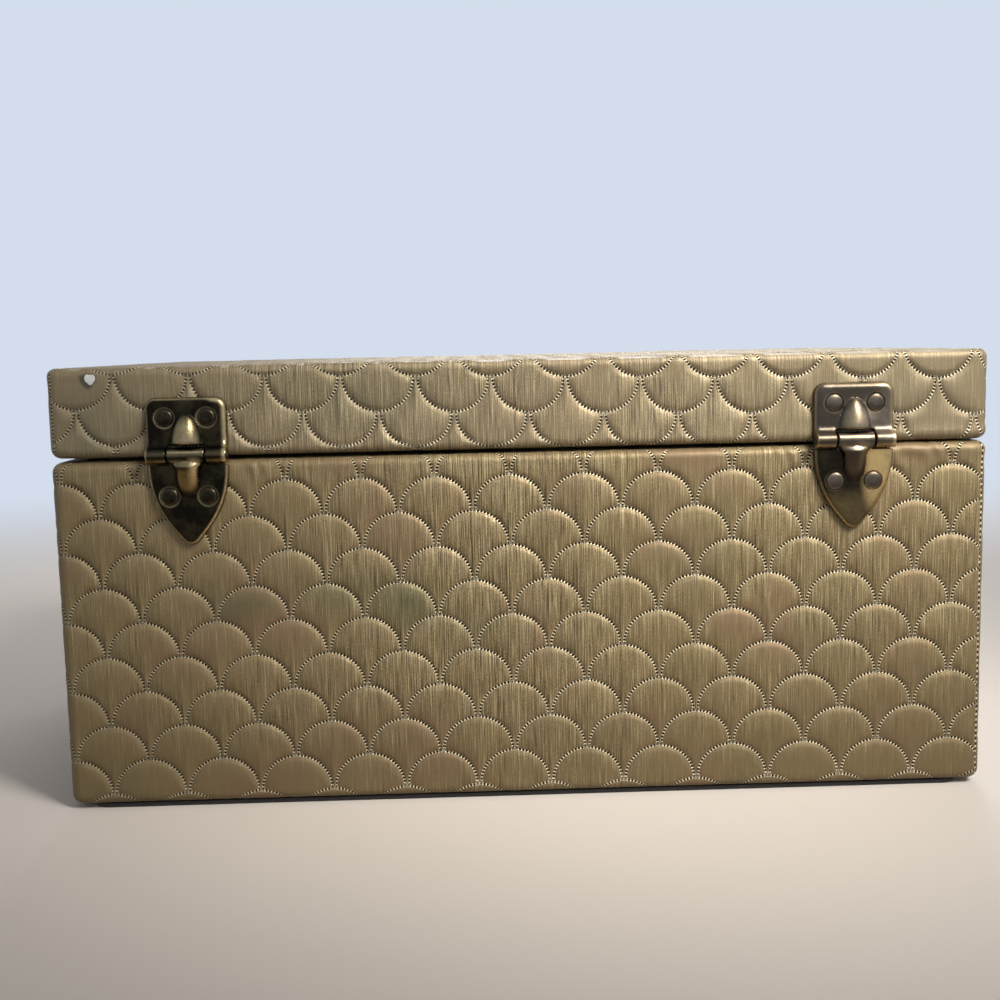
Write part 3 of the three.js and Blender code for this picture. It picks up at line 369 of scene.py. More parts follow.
# Slow swells of the padding, the same for a place on the box whichever panel it is on.
def swell(p):
    slow = 0.13 * np.sin(p[:, 0] / 31 + 1.3) * np.sin(p[:, 2] / 23 + p[:, 1] / 37)
    return slow + 0.08 * np.sin(p[:, 0] / 11.3 + p[:, 2] / 17.1 + p[:, 1] / 13)


shell = dict(folds=(4.5, 2.6, 1.1, 0, -1.0, -2.0, -3.1, -4.2), corner=5.0, cornerRound=0.5, cornerReach=9.0,
             cornerFade=0.12, seamInset=0.8, seamHalf=0.7, plump=0.5, plumpFrom=70, plumpTo=168,
             rimTop=3.2, rimLow=1.0, rimSide=1.5)
sides = {
    "rear": dict(out=(0, -1), tangent=(1, 0), straight=176.5, face=120.0),
    "left": dict(out=(-1, 0), tangent=(0, -1), straight=115.0, face=181.5),
    "front": dict(out=(0, 1), tangent=(-1, 0), straight=176.5, face=120.0),
    "right": dict(out=(1, 0), tangent=(0, 1), straight=115.0, face=181.5),
}
turnReach = shell["corner"] * math.pi / 4


# Points on a side wall: s along the wall, inset and height from the profile.
def wallPoint(side, s, inset, z):
    wall, r = sides[side], shell["corner"]
    over = np.clip(np.abs(s) - wall["straight"], 0, turnReach)
    phi = over / r
    bend = np.maximum(r - inset, 0)
    across = np.minimum(np.abs(s), wall["straight"]) + bend * np.sin(phi)
    outward = wall["face"] - r + bend * np.cos(phi) - np.maximum(inset - r, 0)
    t, o = np.array(wall["tangent"]), np.array(wall["out"])
    sign = np.where(s < 0, -1.0, 1.0)
    xy = (sign * across)[:, None] * t + outward[:, None] * o
    flat = (sign * np.sin(phi))[:, None] * t + np.cos(phi)[:, None] * o
    return np.c_[xy, z], flat


# A wall's profile: flat face with a rounded lower and upper edge, followed by sheet distance v.
def wallProfile(v, low, high, lowRound, highRound):
    lowFlat, highFlat = low + lowRound, high - highRound
    under = np.clip((lowFlat - v) / lowRound, 0, math.pi / 2)
    over = np.clip((v - highFlat) / highRound, 0, math.pi / 2)
    inset = lowRound * (1 - np.cos(under)) + highRound * (1 - np.cos(over))
    z = np.clip(v, lowFlat, highFlat) - lowRound * np.sin(under) + highRound * np.sin(over)
    return inset, z, over - under


# Height of the sheet over its resting surface: flat-topped puffs between sunk, dotted welds.
def sheetHeight(weld, dotAt, p, fade):
    free = np.maximum(weld - quilt["track"], 0) / quilt["rise"]
    full = 1 - (1 - np.minimum(free, 1)) ** quilt["curve"]
    phase = 0.5 - 0.5 * np.cos(2 * math.pi * dotAt)
    welded = np.exp(-(weld / quilt["weld"]) ** 2) * (0.25 + 0.75 * fade)
    dots = welded * (quilt["bar"] * (1 - phase) - quilt["pit"] * phase)
    return -quilt["depth"] * (1 - full) * fade + swell(p) * full * fade + dots - quilt["sink"]


def setAttribute(mesh, name, values):
    mesh.attributes.new(name, "FLOAT", "POINT").data.foreach_set("value", np.asarray(values, np.float32))


def newPiece(name, mesh, material, body, node):
    mesh.materials.append(material)
    piece = addObject(name, mesh)
    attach(piece, body)
    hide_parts(node)
    return piece


def bmeshFrom(points, faces):
    mesh = bpy.data.meshes.new("draft")
    mesh.from_pydata((points * mm).tolist(), [], faces)
    bm = bmesh.new()
    bm.from_mesh(mesh)
    bpy.data.meshes.remove(mesh)
    return bm


def toMesh(name, bm, sharp):
    mesh = bpy.data.meshes.new(name)
    bm.to_mesh(mesh)
    bm.free()
    mesh.shade_smooth()
    mesh.set_sharp_from_angle(angle=math.radians(sharp))
    return mesh


# Carries a sheet's rim back through rings and closes it behind.
def closeBack(bm, rings):
    loop = [e for e in bm.edges if e.is_boundary]
    for ring in rings:
        made = bmesh.ops.extrude_edge_only(bm, edges=loop)["geom"]
        loop = [g for g in made if isinstance(g, bmesh.types.BMEdge) and g.is_boundary]
        for vert in made:
            if isinstance(vert, bmesh.types.BMVert):
                vert.co = ring(vert.co)
    bmesh.ops.edgeloop_fill(bm, edges=loop)
    bmesh.ops.recalc_face_normals(bm, faces=bm.faces)


# Closes a panel at the back and gives it its attributes and sheet coordinates.
def finishPanel(stem, bm, flatPoints, fields, rings, sheetOf, body):
    closeBack(bm, rings)
    mesh = toMesh(f"{stem}_quilt", bm, quilt["sharp"])
    total, first = len(mesh.vertices), len(flatPoints)
    points = np.zeros(total * 3, np.float32)
    mesh.vertices.foreach_get("co", points)
    points = points.reshape(-1, 3) / mm
    for key, values in fields.items():
        rest = 9.0 if key == "weldDist" else 0.0
        setAttribute(mesh, key, np.r_[values, np.full(total - first, rest)])
    sheetAt = np.concatenate([flatPoints, sheetOf(points[first:])])
    corners = np.zeros(len(mesh.loops), np.int32)
    mesh.loops.foreach_get("vertex_index", corners)
    uv = mesh.uv_layers.new(name="sheet")
    uv.data.foreach_set("uv", (sheetAt[corners] * mm).astype(np.float32).ravel())
    piece = newPiece(f"{stem}_quilt", mesh, goldVinyl, body, f"{stem}_cover")


def coordinates(bm):
    return np.array([v.co[:2] for v in bm.verts])


def moveTo(bm, points):
    for vert, p in zip(bm.verts, points):
        vert.co = p


# Marks on the hinge side in part millimetres: greenish tarnish, puckers under the rim.
marks = dict(
    tarnish=[(-46, 77, 9, 7, 1.0), (-112, 80, 13, 6, 0.8), (-66, 85, 26, 8, 0.5), (-20, 69, 14, 8, 0.35),
             (70, 93, 16, 9, 0.3), (118, 61, 20, 10, 0.25), (-150, 150, 40, 14, 0.35), (-60, 158, 30, 9, 0.3),
             (150, 157, 45, 16, 0.3)],
    pucker=[(153, 12, 0.3), (104, 8, 0.2), (-104, 9, 0.2), (-152, 9, 0.18), (30, 22, 0.12)],
    puckerBand=(134, 5.0),
)


def rearMarks(p):
    tarnish, pucker = np.zeros((2, len(p)))
    x, z = p[:, 0], p[:, 2]
    band, high = marks["puckerBand"]
    for at, level, wide, tall, much in marks["tarnish"]:
        tarnish += much * np.exp(-((x - at) / wide) ** 2 - ((z - level) / tall) ** 2)
    for at, wide, much in marks["pucker"]:
        wave = np.sin(x * 0.8 + 0.5 * z + 2 * np.sin(x * 0.31))
        pucker += much * wave * np.exp(-((x - at) / wide) ** 2 - ((z - band) / high) ** 2)
    return np.minimum(tarnish, 1), pucker


# Adds a sewn line to the welds, from the distance to it and the count of stitches along it.
def addSeam(weld, dotAt, gap, stitch):
    gap = np.abs(gap)
    return np.minimum(weld, gap), np.where(gap < weld, stitch, dotAt)


# A side panel of the body or the lid.
def wallPanel(side, spec):
    wall, body = sides[side], spec["body"]
    end = wall["straight"] + turnReach
    low, high, lowRound, highRound = (spec[k] for k in ("low", "high", "lowRound", "highRound"))
    way, shift, offset, apex, slope = (spec[k] for k in ("way", "shift", "offset", "apex", "slope"))
    lowFlat, highFlat = low + lowRound, high - highRound
    lowV = lowFlat - lowRound * math.pi / 2
    highV = highFlat + highRound * math.pi / 2 * spec["foldShare"]
    box = (shift - end, shift + end, *sorted((way * lowV + offset, way * highV + offset)))
    turns = [lowFlat + k for k in shell["folds"]] + [highFlat - k for k in shell["folds"]]
    folds = [way * k + offset for k in turns]
    seamAt, half = end - shell["seamInset"], shell["seamHalf"]
    sewn = [shift + seam * seamAt + k for seam in spec["seams"] for k in (-half, 0, half)]
    bm = quiltSheet(box, apex, quilt["perQuarter"], quilt["steps"], slope, folds, sewn)
    flat = coordinates(bm)
    s, v = flat[:, 0] - shift, way * (flat[:, 1] - offset)
    weld, dotAt = weldField(flat[:, 0], flat[:, 1], apex, slope)
    for seam in spec["seams"]:
        weld, dotAt = addSeam(weld, dotAt, s - seam * seamAt, v / spec["seamPitch"])
    atCorner = smoothStep(end - shell["cornerReach"], end, np.abs(s))
    more = 1 + shell["cornerRound"] / lowRound * atCorner
    topMore = more if spec["foldShare"] == 1.0 else 1.0
    inset, z, tilt = wallProfile(v, low, high, lowRound * more, highRound * topMore)
    base, out = wallPoint(side, s, inset, z)
    normal = np.c_[out * np.cos(tilt)[:, None], np.sin(tilt)]
    lowEdge = smoothStep(lowFlat + spec["edgeReach"], lowFlat - 2, v)
    edge = np.maximum(lowEdge, smoothStep(highFlat - 3, highFlat + 2, v))
    fade = (1 - (1 - spec["edgeFade"]) * edge) * (1 - (1 - shell["cornerFade"]) * atCorner)
    lift = sheetHeight(weld, dotAt, base, fade)
    tarnish, pucker = rearMarks(base) if side == "rear" else np.zeros((2, len(base)))
    nearGap = smoothStep(highFlat - 3, high - 1, v) if body == "body" else smoothStep(lowFlat + 3, low + 1, v)
    toRight = smoothStep(shell["plumpFrom"], shell["plumpTo"], base[:, 0])
    plump = shell["plump"] * nearGap * toRight  # the gap under the lid narrows to the right
    moveTo(bm, (base + normal * (lift + pucker + plump)[:, None]) * mm)
    t, o = Vector((*wall["tangent"], 0)), Vector((*wall["out"], 0))

    def ringMaker(topAt, bottomAt, sideInset):
        def ring(co):
            across, z = co.dot(t) / mm, co.z / mm
            atTop, atBottom = z > high - shell["rimTop"], z < low + shell["rimLow"]
            inset, level = topAt if atTop else bottomAt if atBottom else (sideInset, z)
            if abs(across) > wall["straight"] + shell["rimSide"]:
                across = math.copysign(wall["straight"] + shell["corner"] - inset, across)
            return (t * across + o * (wall["face"] - inset) + Vector((0, 0, level))) * mm
        return ring

    def sheetOf(p):
        along, outward = p[:, :2] @ np.array(wall["tangent"]), p[:, :2] @ np.array(wall["out"])
        return np.c_[along + shift, p[:, 2] - outward]

    # the lid sides carry a share of painted sky reflection
    fields = dict(weldDist=weld, weldDot=dotAt, tarnish=tarnish, skyReflection=np.full(len(weld), spec["skyReflectionShare"]))
    rings = [ringMaker(*r) for r in spec["rings"]]
    finishPanel(f"{body}_{side}", bm, flat, fields, rings, sheetOf, body)


bodyQuilt = dict(low=2.0, high=137.8, lowRound=3.5, highRound=3.5, foldShare=1.0, way=1, offset=0,
                 apex=(-5.3, 129.4), slope=0.0, body="body", seamPitch=2.2, edgeReach=5, edgeFade=0.15, skyReflectionShare=0.0,
                 rings=[((10.2, 137.8), (10.2, 2.0), 2.5), ((10.2, 136.8), (10.2, 3.0), 3.2),
                        ((4.0, 136.8), (4.0, 3.0), 4.0)])
around = sum(sides[side]["straight"] + turnReach for side in ("rear", "left"))
for count, side in enumerate(sides):
    seams = [1] if side == "rear" else []  # the sheet goes round and meets itself at one corner
    wallPanel(side, dict(bodyQuilt, shift=-count * around, seams=seams))
    print("body quilt", side)

lidRear = dict(low=139.2, high=174.0, lowRound=3.5, highRound=3.4, foldShare=0.5, way=-1, offset=0,
               apex=(2.7, -153.5), slope=0.026, body="lid", shift=0.0, seams=[-1], seamPitch=1.4, edgeReach=1,
               edgeFade=0.15, skyReflectionShare=0.05,
               rings=[((2.0, 172.0), (10.2, 139.2), 2.5), ((3.0, 171.0), (10.2, 140.2), 3.2),
                      ((4.0, 170.0), (4.0, 140.2), 4.0)])
topRound = lidRear["highRound"]
overTop = lidRear["high"] - topRound + topRound * math.pi / 2  # sheet distance where the flat top starts
middle = overTop + sides["rear"]["face"] - topRound  # and at the middle of the lid
lidFront = dict(lidRear, way=1, offset=-2 * middle, slope=0.0)  # the sheet runs on over the top and down
lidEnd = dict(lidRear, way=1, apex=(2.7, 163.0), seams=[], slope=0.0)
for side, spec in (("rear", lidRear), ("front", lidFront), ("left", lidEnd), ("right", lidEnd)):
    wallPanel(side, spec)
print("lid side quilts")

topQuilt = dict(halfX=sides["rear"]["straight"], halfY=sides["left"]["straight"], flat=shell["corner"] - topRound,
                perQuarter=24, steps=(0, 0.025, 0.075, 0.2), rings=[(2.5, 171.6), (4.0, 170.0)])


def topPanel():
    halfX, halfY, flatTo = topQuilt["halfX"], topQuilt["halfY"], topQuilt["flat"]
    reach = flatTo + topRound * math.pi / 4
    endX, endY = halfX + reach, halfY + reach
    apex, slope = lidRear["apex"], lidRear["slope"]
    box = (-endX, endX, -middle - endY, -middle + endY)
    bm = quiltSheet(box, apex, topQuilt["perQuarter"], topQuilt["steps"], slope)
    flat = coordinates(bm)
    x, y = flat[:, 0], -flat[:, 1] - middle
    weld, dotAt = weldField(flat[:, 0], flat[:, 1], apex, slope)
    for seam in (-1, 1):
        weld, dotAt = addSeam(weld, dotAt, x - seam * endX, y / lidRear["seamPitch"])
    overX, overY = np.abs(x) - halfX, np.abs(y) - halfY
    edge = smoothStep(flatTo - 4, flatTo + 1, np.maximum(overX, overY))
    dx, dy = np.maximum(overX, 0), np.maximum(overY, 0)
    far = np.maximum(dx, dy)
    length = np.maximum(np.hypot(dx, dy), 1e-9)
    nx, ny = np.sign(x) * dx / length, np.sign(y) * dy / length
    over = np.maximum(far - flatTo, 0) / topRound
    out = np.minimum(far, flatTo) + topRound * np.sin(over)
    pz = lidRear["high"] - topRound * (1 - np.cos(over))
    base = np.c_[np.clip(x, -halfX, halfX) + nx * out, np.clip(y, -halfY, halfY) + ny * out, pz]
    normal = np.c_[nx * np.sin(over), ny * np.sin(over), np.cos(over)]
    atEnd = smoothStep(endX - shell["cornerReach"], endX - 1, np.abs(x))
    fade = (1 - (1 - lidRear["edgeFade"]) * edge) * (1 - (1 - shell["cornerFade"]) * atEnd)
    lift = sheetHeight(weld, dotAt, base, fade)
    moveTo(bm, (base + normal * lift[:, None]) * mm)

    def ringAt(inset, level):
        wide, deep = (sides["left"]["face"] - inset) * mm, (sides["rear"]["face"] - inset) * mm
        return lambda co: Vector((max(-wide, min(wide, co.x)), max(-deep, min(deep, co.y)), level * mm))

    fields = dict(weldDist=weld, weldDot=dotAt, tarnish=0 * weld, skyReflection=0 * weld)
    rings = [ringAt(*r) for r in topQuilt["rings"]]
    finishPanel("lid_top", bm, flat, fields, rings, lambda p: p[:, :2], "lid")


topPanel()
print("lid top quilt")

# Stamped brass: dark patina, bright where hands and edges have rubbed it, and where highlights, glare and
# reflections are painted into the same mix

brassLook = dict(patina=(0.010, 0.008, 0.005), brown=(0.030, 0.023, 0.012), greyAndGlare=(0.37, 0.295, 0.23),
                 brass=(0.76, 0.585, 0.31), copperAndReflection=(0.60, 0.375, 0.13))
antiqueBrass, tree, bsdf = newMaterial("antiqueBrass", 1.0)
place = objectSpace()
cloud = noise(place, 130.0, 4.0, 0.6)
scuff = noise(place, 900.0, 3.0, 0.65)
wearAndHighlight, copperAndReflection, greyAndGlare = (attribute(k) for k in ("wearAndHighlight", "copperAndReflection", "greyAndGlare"))
colour = mixColour(mapRange(cloud, 0.42, 0.66), brassLook["patina"], brassLook["brown"])
colour = mixColour(times(greyAndGlare, mapRange(cloud, 0.25, 0.6, 1.0, 0.55)), colour, brassLook["greyAndGlare"])
colour = mixColour(times(copperAndReflection, mapRange(cloud, 0.3, 0.6, 0.6, 1.0)), colour, brassLook["copperAndReflection"])
patchy = times(mapRange(scuff, 0.25, 0.6, 0.8, 1.0), mapRange(cloud, 0.3, 0.62, 1.0, 0.7))
colour = mixColour(times(wearAndHighlight, patchy), colour, brassLook["brass"])
rough = plus(mapRange(scuff, 0.3, 0.7, 0.24, 0.36), times(greyAndGlare, 0.2))
setSurface(colour, rough, plus(times(cloud, 0.7), times(scuff, 0.3)), 0.16, 0.2)

# Stop hinges, in hinge millimetres: the pin is the origin, x runs along it, z up, heights stand off the wall

hinge = dict(centre=128.0, axisZ=140.0, wall=120.0, half=15.5, top=22.0, corner=4.2, tip=34.6, plate=2.6, back=0.2,
             rim=2.3, slotRim=0.35, knuckle=3.1, pinHeight=3.3, fillet=3.0, middle=7.1, outer=7.5, clear=3.9,
             seat=3.62, seatDrop=0.4, sharp=42,
             shield=dict(side=0.4, cheek=0.68, chinWidth=0.27, chinDrop=0.91, tipWidth=0.14))
nose = dict(low=4.0, high=16.2, half=6.3, rise=4.3, lip=0.8)
ridge = dict(high=0.5, low=15.8, half=6.7, rise=4.1, facet=3.4)
rivet = dict(head=3.42, dome=1.15, under=2.4, lap=0.05, lip=0.15, shank=1.4, tail=-8.2, upper=(8.0, 14.3),
             lower=(7.3, -15.8), sides=44, rings=12, sharp=50)
leafMesh = dict(edge=0.32, grid=0.46, rings=(0.03, 0.1, 0.22, 0.4, 0.62, 0.9, 1.25, 1.65), thinFrom=0.8,
                margin=1.85, seatSides=48, seatGap=0.7, seatDish=(0.0, 1.6, 2.8, 3.3),
                seatEdge=(-0.05, 0.08, 0.22, 0.45))


def resample(points, step):
    out = []
    points = np.array(points, float)
    for a, b in zip(points, np.roll(points, -1, 0)):
        n = max(1, math.ceil(np.hypot(*(b - a)) / step))
        out += [a + (b - a) * i / n for i in range(n)]
    return np.array(out)


def bezier(points, count):
    t = np.linspace(0, 1, count)[:, None]
    points = [np.array(p, float) for p in points]
    while len(points) > 1:
        points = [a + (b - a) * t for a, b in zip(points, points[1:])]
    return points[0]


def lineDistance(p, line, closed):
    best = np.full(len(p), 1e9)
    for a, b in zip(line, np.roll(line, -1, 0) if closed else line[1:]):
        d = b - a
        t = np.clip((p - a) @ d / max(d @ d, 1e-12), 0, 1)
        best = np.minimum(best, np.hypot(*(p - a - t[:, None] * d).T))
    return best


def insideLine(p, line):
    hit = np.zeros(len(p), bool)
    for a, b in zip(line, np.roll(line, -1, 0)):
        if a[1] != b[1]:
            crosses = (a[1] > p[:, 1]) != (b[1] > p[:, 1])
            hit ^= crosses & (p[:, 0] < a[0] + (p[:, 1] - a[1]) / (b[1] - a[1]) * (b[0] - a[0]))
    return hit


def upperOutline():
    half, k, outer, clear, top, r = (hinge[n] for n in ("half", "knuckle", "outer", "clear", "top", "corner"))
    turn = np.linspace(0, math.pi / 2, 14)
    right = np.c_[half - r + r * np.cos(turn), top - r + r * np.sin(turn)]
    rim = np.concatenate([[(half, -k)], right, right[::-1] * (-1, 1), [(-half, -k)]])
    return np.concatenate([rim, [(-outer, -k), (-outer, clear), (outer, clear), (outer, -k)]]), rim


def lowerOutline():
    half, k, middle, clear, tip = (hinge[n] for n in ("half", "knuckle", "middle", "clear", "tip"))
    s = hinge["shield"]
    top, drop = -clear, clear - tip
    side, cheek, chin = (top + s[n] * drop for n in ("side", "cheek", "chinDrop"))
    low = (-s["chinWidth"] * half, chin)
    left = np.concatenate([bezier([(-half, top), (-half, side), (-s["cheek"] * half, cheek), low], 40)[:-1],
                           bezier([low, (-s["tipWidth"] * half, -tip), (0, -tip)], 14)])
    rim = np.concatenate([left, left[-2::-1] * (-1, 1)])
    return np.concatenate([rim, [(middle, top), (middle, k), (-middle, k), (-middle, top)]]), rim


def knuckleCurve(z):
    return np.sqrt(np.maximum(hinge["knuckle"] ** 2 - z ** 2, 0))


# Height of the plate's front where it curls forward into the outer knuckles.
def curlHeight(z):
    k, c, plate, f = hinge["knuckle"], hinge["pinHeight"], hinge["plate"], hinge["fillet"]
    rise = plate + f - c
    away = math.sqrt((k + f) ** 2 - rise ** 2)
    meet = away * k / (k + f)
    hollow = plate + f - np.sqrt(np.maximum(f ** 2 - (z - away) ** 2, 0))
    return np.where(z < meet, c + knuckleCurve(z), np.where(z < away, hollow, plate))


def noseHeight(x, z):
    t = np.clip((z - nose["low"]) / (nose["high"] - nose["low"]), 0, 1)
    half = nose["half"] * (1 - t ** 1.8) ** 0.55 + 0.05
    crest = nose["rise"] * (1 - t ** 2) ** 0.8
    lip = np.sqrt(1 - (1 - np.clip((z - nose["low"]) / nose["lip"], 0, 1)) ** 2)
    across = np.maximum(1 - np.abs(x / half) ** 2, 0) ** 0.85
    return np.where((z > nose["low"]) & (t < 1), crest * lip * across, 0)


def ridgeHeight(x, z):
    down = -z - ridge["high"]
    t = np.clip(down / (ridge["low"] - ridge["high"]), 0, 1)
    flare = 1 - 0.29 * smoothStep(1.0, ridge["facet"] + 2, down) - 0.1 * t
    half = ridge["half"] * flare * np.sqrt(1 - t ** 8) + 0.05
    beyond = np.clip((down - ridge["facet"]) / (ridge["low"] - ridge["high"] - ridge["facet"]), 0, 1)
    crest = ridge["rise"] * (1 - beyond ** 1.3) ** 0.8
    facet = 0.52 + 0.48 * np.clip(down / ridge["facet"], 0, 1)  # what the nose meets when the lid is open
    across = np.maximum(1 - (x / half) ** 2, 0) ** (0.4 + 0.35 * t)
    return np.where((down > 0) & (t < 1), crest * facet * across, 0)


def seatDepth(x, z, seats):
    depth = np.zeros(len(x))
    for sx, sz in seats:
        far, edge = np.hypot(x - sx, z - sz), hinge["seat"]
        depth = np.maximum(depth, smoothStep(edge + 0.22, edge - 0.05, far))
    return depth * hinge["seatDrop"]


def rounded(d, radius):
    return np.sqrt(1 - (1 - np.clip(d / radius, 0, 1)) ** 2)


def rolled(rimGap, slotGap, rim):  # the sheet thins towards its rolled rim and a little at the slots
    return (0.1 + 0.9 * rounded(rimGap, rim)) * (0.75 + 0.25 * rounded(slotGap, hinge["slotRim"]))


def upperSurface(x, z, rimGap, slotGap, seats):
    tab = smoothStep(hinge["outer"] - 0.9, hinge["outer"] + 0.1, np.abs(x))
    front = hinge["plate"] + (curlHeight(z) - hinge["plate"]) * tab
    front = front + noseHeight(x, z) - seatDepth(x, z, seats)
    back = np.where(z >= 0, hinge["back"], hinge["pinHeight"] - knuckleCurve(z))
    rimSize = 0.5 + (hinge["rim"] - 0.5) * smoothStep(2.0, 6.0, z)
    return back + (front - back) * rolled(rimGap, slotGap, rimSize), back


def lowerSurface(x, z, rimGap, slotGap, seats):
    tab = np.abs(x) <= hinge["middle"] + 1e-6
    barrel = np.where(tab & (z > -hinge["knuckle"]), hinge["pinHeight"] + knuckleCurve(z), 0)
    front = np.maximum(barrel, hinge["plate"] + ridgeHeight(x, z)) - seatDepth(x, z, seats)
    front = np.where(z > 0, barrel, front)
    back = np.where(z <= 0, hinge["back"], hinge["pinHeight"] - knuckleCurve(z))
    return back + (front - back) * rolled(rimGap, slotGap, hinge["rim"] * 0.8), back


# How much each place is rubbed: rolled edges, crests, the rings round the rivets. Part of it is painted highlight
# where the light falls, and on the right hinge painted glare and a painted gold reflection.
def leafWearAndLight(x, z, rimGap, seats, upper, right):
    ring = np.zeros(len(x))
    for sx, sz in seats:
        r = np.maximum(np.hypot(x - sx, z - sz), 1e-6)
        lowLeft = smoothStep(-0.5, 0.8, -0.7 * (x - sx + z - sz) / r)  # the side that catches the light
        ring = np.maximum(ring, np.exp(-((r - hinge["seat"] - 0.12) / 0.22) ** 2) * (0.35 + 0.65 * lowLeft))
    if upper:
        litSide = smoothStep(7, 12, x)  # the right side, which takes the light; its rim wear is widened there into a painted highlight
        edge = np.exp(-((rimGap - 0.45 - 0.45 * litSide) / (0.4 + 0.45 * litSide)) ** 2)
        edge = edge * (0.65 + 0.35 * litSide)
        high = noseHeight(x, z)
        lip = np.exp(-((z - nose["low"] - 0.35) / 0.4) ** 2) * smoothStep(0.2, 1.0, high)
        crest = np.maximum(smoothStep(0.4, 3.2, high) * 0.4, lip * 0.9)
        outer = smoothStep(hinge["outer"] - 0.5, hinge["outer"] + 0.5, np.abs(x))
        barrel = np.exp(-((z - 0.9) / 1.0) ** 2) * outer * 0.09
        copperAndReflection = smoothStep(-0.6, -2.2, z) * 0.3
    else:
        edge = np.exp(-((rimGap - 0.55) / 0.45) ** 2)
        high = ridgeHeight(x, z)
        facet = smoothStep(-1.2, -2.0, z) * smoothStep(-4.6, -3.8, z) * smoothStep(1.2, 2.0, high)
        # painted highlight on the stop facet and on the ridge's right flank, which take the light
        crest = np.maximum(facet * 0.26, smoothStep(1.0, 3.4, high) * smoothStep(-0.5, 3.2, x) * 0.7)
        # painted highlight: a bright line along the upper edge of the middle knuckle, over a faint broader band
        barrel = np.maximum(np.exp(-((z - 1.5) / 0.35) ** 2) * 0.6, np.exp(-((z - 1.0) / 1.2) ** 2) * 0.16)
        barrel = barrel * (z > -1.5)
        copperAndReflection = smoothStep(0.6, 2.2, high) * smoothStep(-4.0, -6.5, z) * 0.42
    wearAndHighlight = np.maximum.reduce([ring, 0.85 * edge, crest, barrel])
    greyAndGlare = np.zeros(len(x))
    if right:  # the right hinge is rubbed to grey metal; its glare and gold reflection are painted
        wearAndHighlight = wearAndHighlight * 0.6
        if upper:
            # painted glare on the upper leaf right of the nose, and lighter towards its right edge
            glare = np.exp(-((x - 5) / 5) ** 2 - ((z - 9) / 5) ** 2)
            greyAndGlare = 0.24 + 0.6 * glare + 0.25 * smoothStep(6, 14, x)
        else:
            # painted gold reflection on the lower leaf's right half and foot, off the ridge and below the knuckle
            offRidgeAndKnuckle = smoothStep(1.0, 0.2, high) * smoothStep(-3.0, -4.6, z)
            gold = np.maximum(smoothStep(1.5, 7.0, x) * smoothStep(-34, -17, z), 0.16 * smoothStep(-17, -25, z))
            gold = gold * offRidgeAndKnuckle
            wearAndHighlight = np.maximum(wearAndHighlight * 0.6, 0.3 * gold)
            copperAndReflection = np.maximum(0.1 * copperAndReflection, gold)
            greyAndGlare = 0.03 + 0.3 * smoothStep(-3.9, -3.0, z) + 0.16 * smoothStep(0.4, 2.5, high)
    return dict(wearAndHighlight=np.clip(wearAndHighlight, 0, 1), copperAndReflection=np.clip(copperAndReflection, 0, 1), greyAndGlare=greyAndGlare)


# A brass piece with its rubbed, coppery and grey places, part of them painted highlight, glare and reflection.
def brassPiece(name, mesh, body, node, wearAndHighlight, copperAndReflection=0.0, greyAndGlare=0.0):
    for key, value in (("wearAndHighlight", wearAndHighlight), ("copperAndReflection", copperAndReflection), ("greyAndGlare", greyAndGlare)):
        setAttribute(mesh, key, np.ones(len(mesh.vertices)) * value)
    newPiece(name, mesh, antiqueBrass, body, node)


